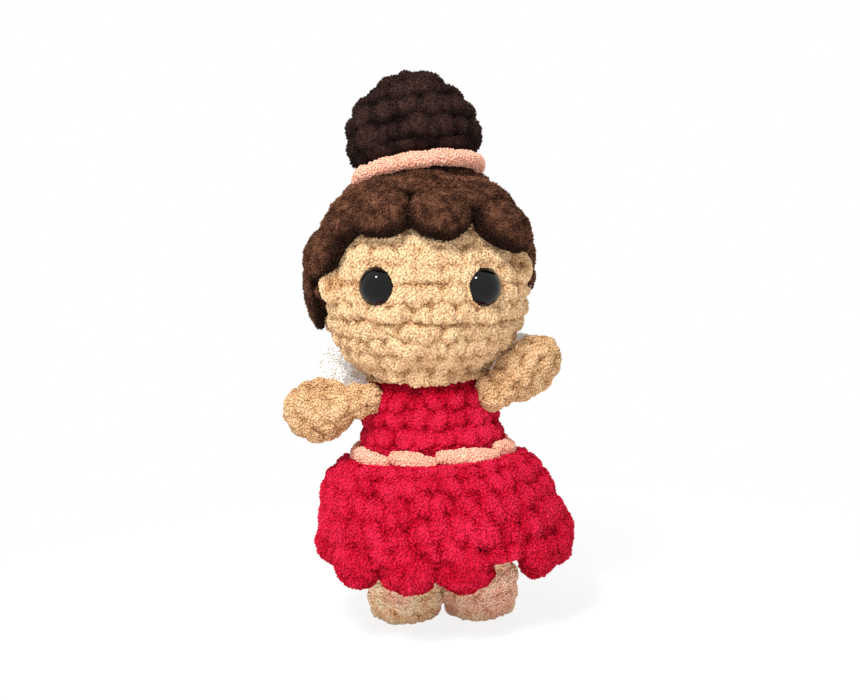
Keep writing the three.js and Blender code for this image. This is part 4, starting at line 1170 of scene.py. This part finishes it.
chenille("skirt_bell", skirt_net, DRESS, Pile(1.15, 0.65, 1.35, 0.9), "torso", 94, skirt_showing,
         replaces=["skirt"])
chenille("hem_shells", together(shells), DRESS, Pile(1.5, 0.65, 1.15, 0.9), "torso", 95, skirt_showing)

# %% [markdown]
# ## Arms, legs and wings
#
# An arm is a bobble sewn into the shoulder and a flat stuffed paddle. A leg is a short thick tube on a
# rounded foot. Both turn in their sockets, so each rides on its own body. A wing is two flat petals on a
# rolled root.

# %% Arms
ARM_REACH, ARM_BOBBLE, ARM_NECK = 31.6, 6.0, 4.6
ARM_WIDTH, ARM_THICKNESS = 23.6, 15.0
ARM_MIDDLE = (ARM_REACH + ARM_BOBBLE - 1.2) / 2
ARM_ROW, ARM_RISE = 6.2, 1.6


def oval(x, middle, half_length, half):
    """The half height of an ellipse at x, 0 beyond its ends."""
    return half * np.sqrt(np.maximum(0, 1 - ((x - middle) / half_length) ** 2))


def joined(*sizes, power=6):
    """A smooth largest of several sizes: the root of the sum of their powers."""
    return np.sum([np.abs(size) ** power for size in sizes], axis=0) ** (1 / power)


def limb(x, width, thickness, columns, seed, row_height, rise, proud=-0.2):
    """A lobe along +X: at each x an ellipse of that half thickness and half width, with stitches raised
    from it. All of it is moved outwards by proud."""
    angle = angles(columns)
    y = thickness[:, None] * np.sin(angle)
    z = width[:, None] * np.cos(angle)
    grid = np.stack([np.broadcast_to(x[:, None], y.shape), y, z], axis=-1)
    row = (x - x[0]) / row_height
    at = x[0] + (np.arange(int(row[-1]) + 2) + 0.5) * row_height
    counts = rounds(np.interp(at, x, (width + thickness) / 2))
    turns = np.broadcast_to(angle / FULL_TURN, y.shape)
    relief = stitches(turns, np.broadcast_to(row[:, None], y.shape), counts, seed)
    small = lumps(grid, 2.8, seed + 1)
    slow = wander(grid, 9, seed + 2)
    ends = smoothly(joined(width, thickness)[:, None], 0, 3)
    height = rise * (relief - 1) + 0.7 * (small - 1) + 0.4 * slow + proud
    # The shade is painted darker in the grooves and between the lumps, as shade.
    return raised(grid, ends * height), 0.7 * relief + 0.35 * small


def arm_grid(seed, proud):
    """The bobble's ball, the neck and the paddle, each an ellipse along the arm, joined smoothly."""
    x = mix(-ARM_BOBBLE, ARM_REACH, (1 - np.cos(np.linspace(0, np.pi, 90))) / 2)
    half_length = ARM_REACH - ARM_MIDDLE
    ball = oval(x, 0, ARM_BOBBLE + 0.05, ARM_BOBBLE)
    neck = (ARM_NECK + 2.2) * smoothly(x, -2, 4) * (1 - smoothly(x, 12, 20))
    width = joined(ball, neck, oval(x, ARM_MIDDLE, half_length, ARM_WIDTH / 2))
    thickness = joined(ball, neck, oval(x, ARM_MIDDLE, half_length, ARM_THICKNESS / 2))
    return limb(x, width, thickness, 130, seed, ARM_ROW, ARM_RISE, proud)


MIRROR = np.diag([-1, 1, 1.0])
RIGHT_AIM = turned("z", 4) @ turned("y", 10)
LEFT_AIM = turned("z", 27) @ turned("y", -26) @ turned("x", 30)
SHOULDER = np.array([22.525, -13.534, 83.6])  # the left one, from the doll's axis
ARMS = {
    "right": (MIRROR @ RIGHT_AIM @ np.diag([1, -1, 1.0]), SHIFT + MIRROR @ SHOULDER),
    "left": (LEFT_AIM, SHIFT + SHOULDER),
}
for k, (side, (axes, centre)) in enumerate(ARMS.items()):
    grid, shade = arm_grid(110 + 9 * k, 0.2 + 0.6 * k)
    # The arms' shade is scaled by 0.7: they are painted darker than the head in the same yarn, as shade.
    arm_net = net_of(set_at(grid, axes, centre), 0.7 * shade)
    chenille(f"{side}_arm_skin", arm_net, SKIN, Pile(1.9, 0.5, 1.3, 0.4), f"{side}_arm", 120 + k,
             replaces=[f"{side}_arm"], fill=0.6)

# %% Legs
LEG_TOP, FOOT_RADIUS, FOOT_LENGTH, FOOT_HEIGHT, SOLE_CUT = 12.3, 12.8, 28.0, 12.0, 0.5
FOOT_ASIDE = (0.6, 1.4)  # how far the right and the left foot stand towards the doll's left
LEG_ROW, UNDER_POWER = 6.6, 3.2


def leg_grid(seed, aside, inset=0.0, rows=96, columns=150, rise=2.4):
    """Half a ball at the hip, a shank that grows into the foot's oval, set aside by a distance, and an
    underside that is a rounded box of power UNDER_POWER, pressed flat on the floor."""
    part = np.linspace(0, 3, rows)[:, None]
    angle = angles(columns, -0.5)
    spoke_x, spoke_y = np.sin(angle), -np.cos(angle)
    top, foot_x, foot_y = LEG_TOP - inset, FOOT_RADIUS - inset, FOOT_LENGTH / 2 - inset
    widest = FOOT_HEIGHT - HIP_HEIGHT
    under = FOOT_HEIGHT + SOLE_CUT - inset
    ball_share = np.sin(np.pi / 2 * np.minimum(part, 1))
    grown = smoothly(part, 1.3, 2)
    closing = np.cos(np.pi / 2 * np.clip(part - 2, 0, 1))
    depth = np.maximum(0, 1 - closing**UNDER_POWER) ** (1 / UNDER_POWER)
    scale_x = np.where(part <= 1, top * ball_share, mix(top, foot_x, grown) * closing)
    scale_y = np.where(part <= 1, top * ball_share, mix(top, foot_y, grown) * closing)
    z = np.where(part <= 1, top * np.cos(np.pi / 2 * part), np.where(part <= 2, widest * (part - 1), 0))
    z = np.where(part > 2, widest - under * depth, z)
    grid = np.stack([scale_x * spoke_x + aside * grown, scale_y * spoke_y - grown,
                     np.broadcast_to(z, (rows, columns))], axis=-1)
    run = along(np.concatenate([scale_y, z], axis=1))
    row = np.broadcast_to((run / LEG_ROW)[:, None], grid.shape[:2])
    at = (np.arange(int(run[-1] / LEG_ROW) + 2) + 0.5) * LEG_ROW
    counts = rounds(np.interp(at, run, scale_y[:, 0]))
    relief = stitches(np.broadcast_to(angle / FULL_TURN + 0.5, row.shape), row, counts, seed)
    small = lumps(grid, 2.8, seed + 1)
    ends = smoothly(scale_y, 0, 3)
    height = rise * (relief - 1) + 0.7 * (small - 1) + 0.5 * wander(grid, 9, seed + 2) + 1.3 + 0.9 * grown
    grid = raised(grid, ends * height if rise else 0 * height)
    grid[..., 2] = np.maximum(grid[..., 2], -HIP_HEIGHT + inset + 0.05)
    # The shade is painted darker in the grooves and between the lumps, as shade.
    return grid, 0.65 * relief + 0.4 * small


def leg_showing(places):
    """1 off the floor and below the upper part of the skirt."""
    return (places[:, 2] > 0.8) * (places[:, 2] < 34)


LEGS = {side: SHIFT + (x, -1.0, HIP_HEIGHT) for side, x in (("right", -13.1), ("left", 13.1))}
for k, (side, centre) in enumerate(LEGS.items()):
    grid, shade = leg_grid(130 + 9 * k, FOOT_ASIDE[k])
    leg_net = net_of(set_at(grid, UPRIGHT, centre), shade)
    chenille(f"{side}_leg_skin", leg_net, PAINTED_LIGHT_FOOT, Pile(1.5, 0.5, 1.4, 0.4), f"{side}_leg", 140 + k,
             leg_showing, replaces=[f"{side}_leg"], fill=0.7)

# %% Wings
PETALS = [(42.3, 24.0, 23.0), (22.0, 15.0, -36.0)]  # length, width and raise
WING_THICKNESS, WING_LEAN = 6.4, 22.0
WING_ROW, WING_RISE = 6.4, 1.2
ROOT_ROLL = [(0, -6.5), (2.2, -6.4), (3.1, -5.7), (3.3, -4), (3.3, 4), (3.1, 5.7), (2.2, 6.4), (0, 6.5)]


def petal_grid(length, width, raise_by, seed):
    """A flat lobe that widens smoothly to two thirds of its length and ends in half an ellipse."""
    x = mix(0, length, (1 - np.cos(np.linspace(0, np.pi, 64))) / 2)
    widest, rim = length * 0.66, WING_THICKNESS / 2
    stem = mix(rim, width / 2, smoothly(x, 0, widest))
    wide = np.where(x < widest, stem, oval(x, widest, length - widest, width / 2))
    wide = wide * np.sqrt(1 - (1 - np.clip(x / 2, 0, 1)) ** 2)
    grid, shade = limb(x, wide, np.minimum(rim, wide), 96, seed, WING_ROW, WING_RISE)
    return set_at(grid, turned("y", -raise_by), np.zeros(3)), shade


for k, (side, turn, aside) in enumerate((("right", 180, -5.5), ("left", 0, 5.5))):
    centre = SHIFT + (aside, 30.524, 82)
    axes = turned("x", -WING_LEAN) @ turned("z", turn)
    forms = [petal_grid(*petal, 150 + 17 * k + 5 * j) for j, petal in enumerate(PETALS)]
    forms.append(worked(spline(ROOT_ROLL, 40), 60, 6.0, 160 + k, 0.6, width=6.0))
    wing_net = together([net_of(set_at(grid, axes, centre), shade) for grid, shade in forms])
    chenille(f"{side}_wing_skin", wing_net, WHITE, Pile(0.9, 0.5, 1.1, 0.6), f"{side}_wing", 165 + k,
             replaces=[f"{side}_wing"], fill=0.2)

# %% [markdown]
# ## Filling
#
# Inside each stuffed piece lies its filling, one layer further in. It is never seen, but it is what keeps
# the form, and it is made as its own piece so that the doll can be taken apart.

# %% The filling


def filling(part, grid, axes, centre, body, seed):
    """Soft lumps of fibre on a form."""
    grid = raised(grid, 0.7 * (lumps(grid, 7, seed) - 1.0))
    net = net_of(set_at(grid, axes, centre), 0.5)
    piece(f"{part}_fibre", net, FILLING, body, "stuffing", [f"{part}_stuffing"])


ROOM = 0.3  # between a filling and its skin
ball_way = facing(*grid_angles(60, np.linspace(0, 180, 34)))
filling("head", ball_way * (HEAD_RADIUS - FABRIC - ROOM), HEAD_AXES, HEAD_CENTRE, "head", 171)
filling("bun", lathed(bun_outline(36, FABRIC + ROOM), 48)[0], BUN_AXES, BUN_CENTRE, "head", 172)

inner = np.maximum(lining - (ROOM, 0), 0)
neck_top = [(12.5, NECK_HEIGHT - 2), (12.5, NECK_HEIGHT - 3.2), (0, NECK_HEIGHT - 3.2)]
filling("body", lathed(np.vstack([inner[::5], neck_top]), 56)[0], UPRIGHT, SHIFT, "torso", 173)

wall = LIMB_FABRIC + ROOM
arm_halves = (ARM_REACH - ARM_MIDDLE - LIMB_FABRIC - 0.6, ARM_THICKNESS / 2 - wall, ARM_WIDTH / 2 - wall)
for k, (side, (axes, centre)) in enumerate(ARMS.items()):
    core = ball_way * arm_halves + (ARM_MIDDLE + 0.6, 0, 0)
    filling(f"{side}_arm", core, axes, centre, f"{side}_arm", 174 + k)
for k, (side, centre) in enumerate(LEGS.items()):
    core, _ = leg_grid(180 + k, FOOT_ASIDE[k], wall, rows=40, columns=48, rise=0)
    filling(f"{side}_leg", core, UPRIGHT, centre, f"{side}_leg", 176 + k)

# %% [markdown]
# ## Camera and light
#
# The camera stands in front, a little above the face, and is turned a little as the photograph was. The
# room is white all round. A large lamp from the upper left gives the soft shadows, a weak one from the
# front opens the underside, another lights the back, and a small one makes the bright point on each eye.
# The rest of the light comes from everywhere, so that a colour shows about as it is written.

# %% Camera
PITCH, ROLL = 3.31, 3.0
FOCAL_PIXELS, PICTURE_WIDTH = 1129.0, 860
pitch_c, pitch_s = math.cos(math.radians(PITCH)), math.sin(math.radians(PITCH))
back, up, right = np.array([0, -pitch_c, pitch_s]), np.array([0, pitch_s, pitch_c]), np.array([1.0, 0, 0])
roll_c, roll_s = math.cos(math.radians(ROLL)), math.sin(math.radians(ROLL))
camera = bpy.data.objects.new("camera", bpy.data.cameras.new("camera"))
bpy.context.scene.collection.objects.link(camera)
place = np.eye(4)
place[:3, :3] = np.stack([roll_c * right - roll_s * up, roll_s * right + roll_c * up, back], axis=1)
place[:3, 3] = (SHIFT + (0.9, -420, 123.6)) * MM
camera.matrix_world = Matrix(place.tolist())
camera.data.sensor_width = 36
camera.data.lens = FOCAL_PIXELS / PICTURE_WIDTH * 36
camera.data.clip_start = 0.01
bpy.context.scene.camera = camera

# %% Light


def seen_directly(nodes, links):
    """1 for what the camera sees, straight, in a mirror or through glass, and 0 for other light."""
    path = nodes.new("ShaderNodeLightPath")
    first, second = (calculation(nodes, "MAXIMUM", {}) for _ in range(2))
    links.new(path.outputs["Is Camera Ray"], first.inputs[0])
    links.new(path.outputs["Is Glossy Ray"], first.inputs[1])
    links.new(first.outputs[0], second.inputs[0])
    links.new(path.outputs["Is Transmission Ray"], second.inputs[1])
    return second.outputs[0]


world = bpy.data.worlds.new("studio")
bpy.context.scene.world = world
world.use_nodes = True
sky, joins = world.node_tree.nodes, world.node_tree.links
strength = set_values(sky.new("ShaderNodeMapRange"), {"To Min": 0.47, "To Max": 1.0})
joins.new(seen_directly(sky, joins), strength.inputs["Value"])
set_values(sky["Background"], {"Color": (1, 1, 1, 1)})
joins.new(strength.outputs["Result"], sky["Background"].inputs["Strength"])


def lamp(name, at, size, power, aim=(0, 0, 110), mirrored=False):
    """A round area lamp, size mm wide, turned to look at a point. Only a mirrored one shows on the
    eyes."""
    data = bpy.data.lights.new(name, "AREA")
    data.shape = "DISK"
    data.size = size * MM
    data.energy = power
    thing = bpy.data.objects.new(name, data)
    bpy.context.scene.collection.objects.link(thing)
    thing.location = Vector(at) * MM
    thing.rotation_euler = (Vector(aim) - Vector(at)).to_track_quat("-Z", "Y").to_euler()
    thing.visible_glossy = mirrored


lamp("key", (-200, -480, 640), 260, 4.1)
lamp("spark", (-190, -400, 660), 90, 2.2, mirrored=True)
lamp("fill", (60, -600, 60), 400, 0.9, aim=(0, 0, 60))
lamp("back", (140, 640, 230), 420, 2.4)
bpy.context.scene.view_settings.view_transform = "Standard"

# %% Floor
FLOOR_RADIUS = 1500.0


def floor_material():
    """White that shows its light and shadow in part: a share of plain white, all of it far from the doll,
    is mixed in for what the camera sees."""
    material, nodes, links, shader = new_material("floor", 0.9, 0.1)
    grain = noise(nodes, links, 40.0)
    colours_along(nodes, links, shader, grain.outputs["Fac"], [(250, 250, 250), (254, 254, 254)])
    white = set_values(nodes.new("ShaderNodeEmission"), {"Strength": 1.0})
    place = nodes.new("ShaderNodeTexCoord")
    far = nodes.new("ShaderNodeVectorMath")
    far.operation = "LENGTH"
    links.new(place.outputs["Object"], far.inputs[0])
    nearness = {"From Min": 0.04, "From Max": 0.26, "To Min": 0.84, "To Max": 1.0}
    plain = set_values(nodes.new("ShaderNodeMapRange"), nearness)
    links.new(far.outputs["Value"], plain.inputs["Value"])
    part = calculation(nodes, "MULTIPLY", {})
    links.new(seen_directly(nodes, links), part.inputs[0])
    links.new(plain.outputs["Result"], part.inputs[1])
    both = nodes.new("ShaderNodeMixShader")
    links.new(part.outputs[0], both.inputs["Fac"])
    links.new(shader.outputs["BSDF"], both.inputs[1])
    links.new(white.outputs["Emission"], both.inputs[2])
    links.new(both.outputs["Shader"], nodes["Material Output"].inputs["Surface"])
    return material


rings = np.concatenate([[0.0], np.geomspace(20, FLOOR_RADIUS, 24)])
disc_angle = angles(64)
disc = np.stack([rings[:, None] * np.cos(disc_angle), rings[:, None] * np.sin(disc_angle)], axis=-1)
disc = np.concatenate([disc, np.full((*disc.shape[:2], 1), -0.05)], axis=-1)
floor_net = net_of(np.concatenate([disc, disc[:1] - (0, 0, 1.0)]), 0.5)
floor = bpy.data.objects.new("floor", mesh_of("floor", floor_net))
bpy.context.scene.collection.objects.link(floor)
floor.data.materials.append(floor_material())
floor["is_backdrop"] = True

# %% Sizes written down, and the end
low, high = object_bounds()
print("visual box in mm:", [round(1000 * (h - l), 1) for l, h in zip(low, high)])
print("triangles in all:", sum(made_faces))
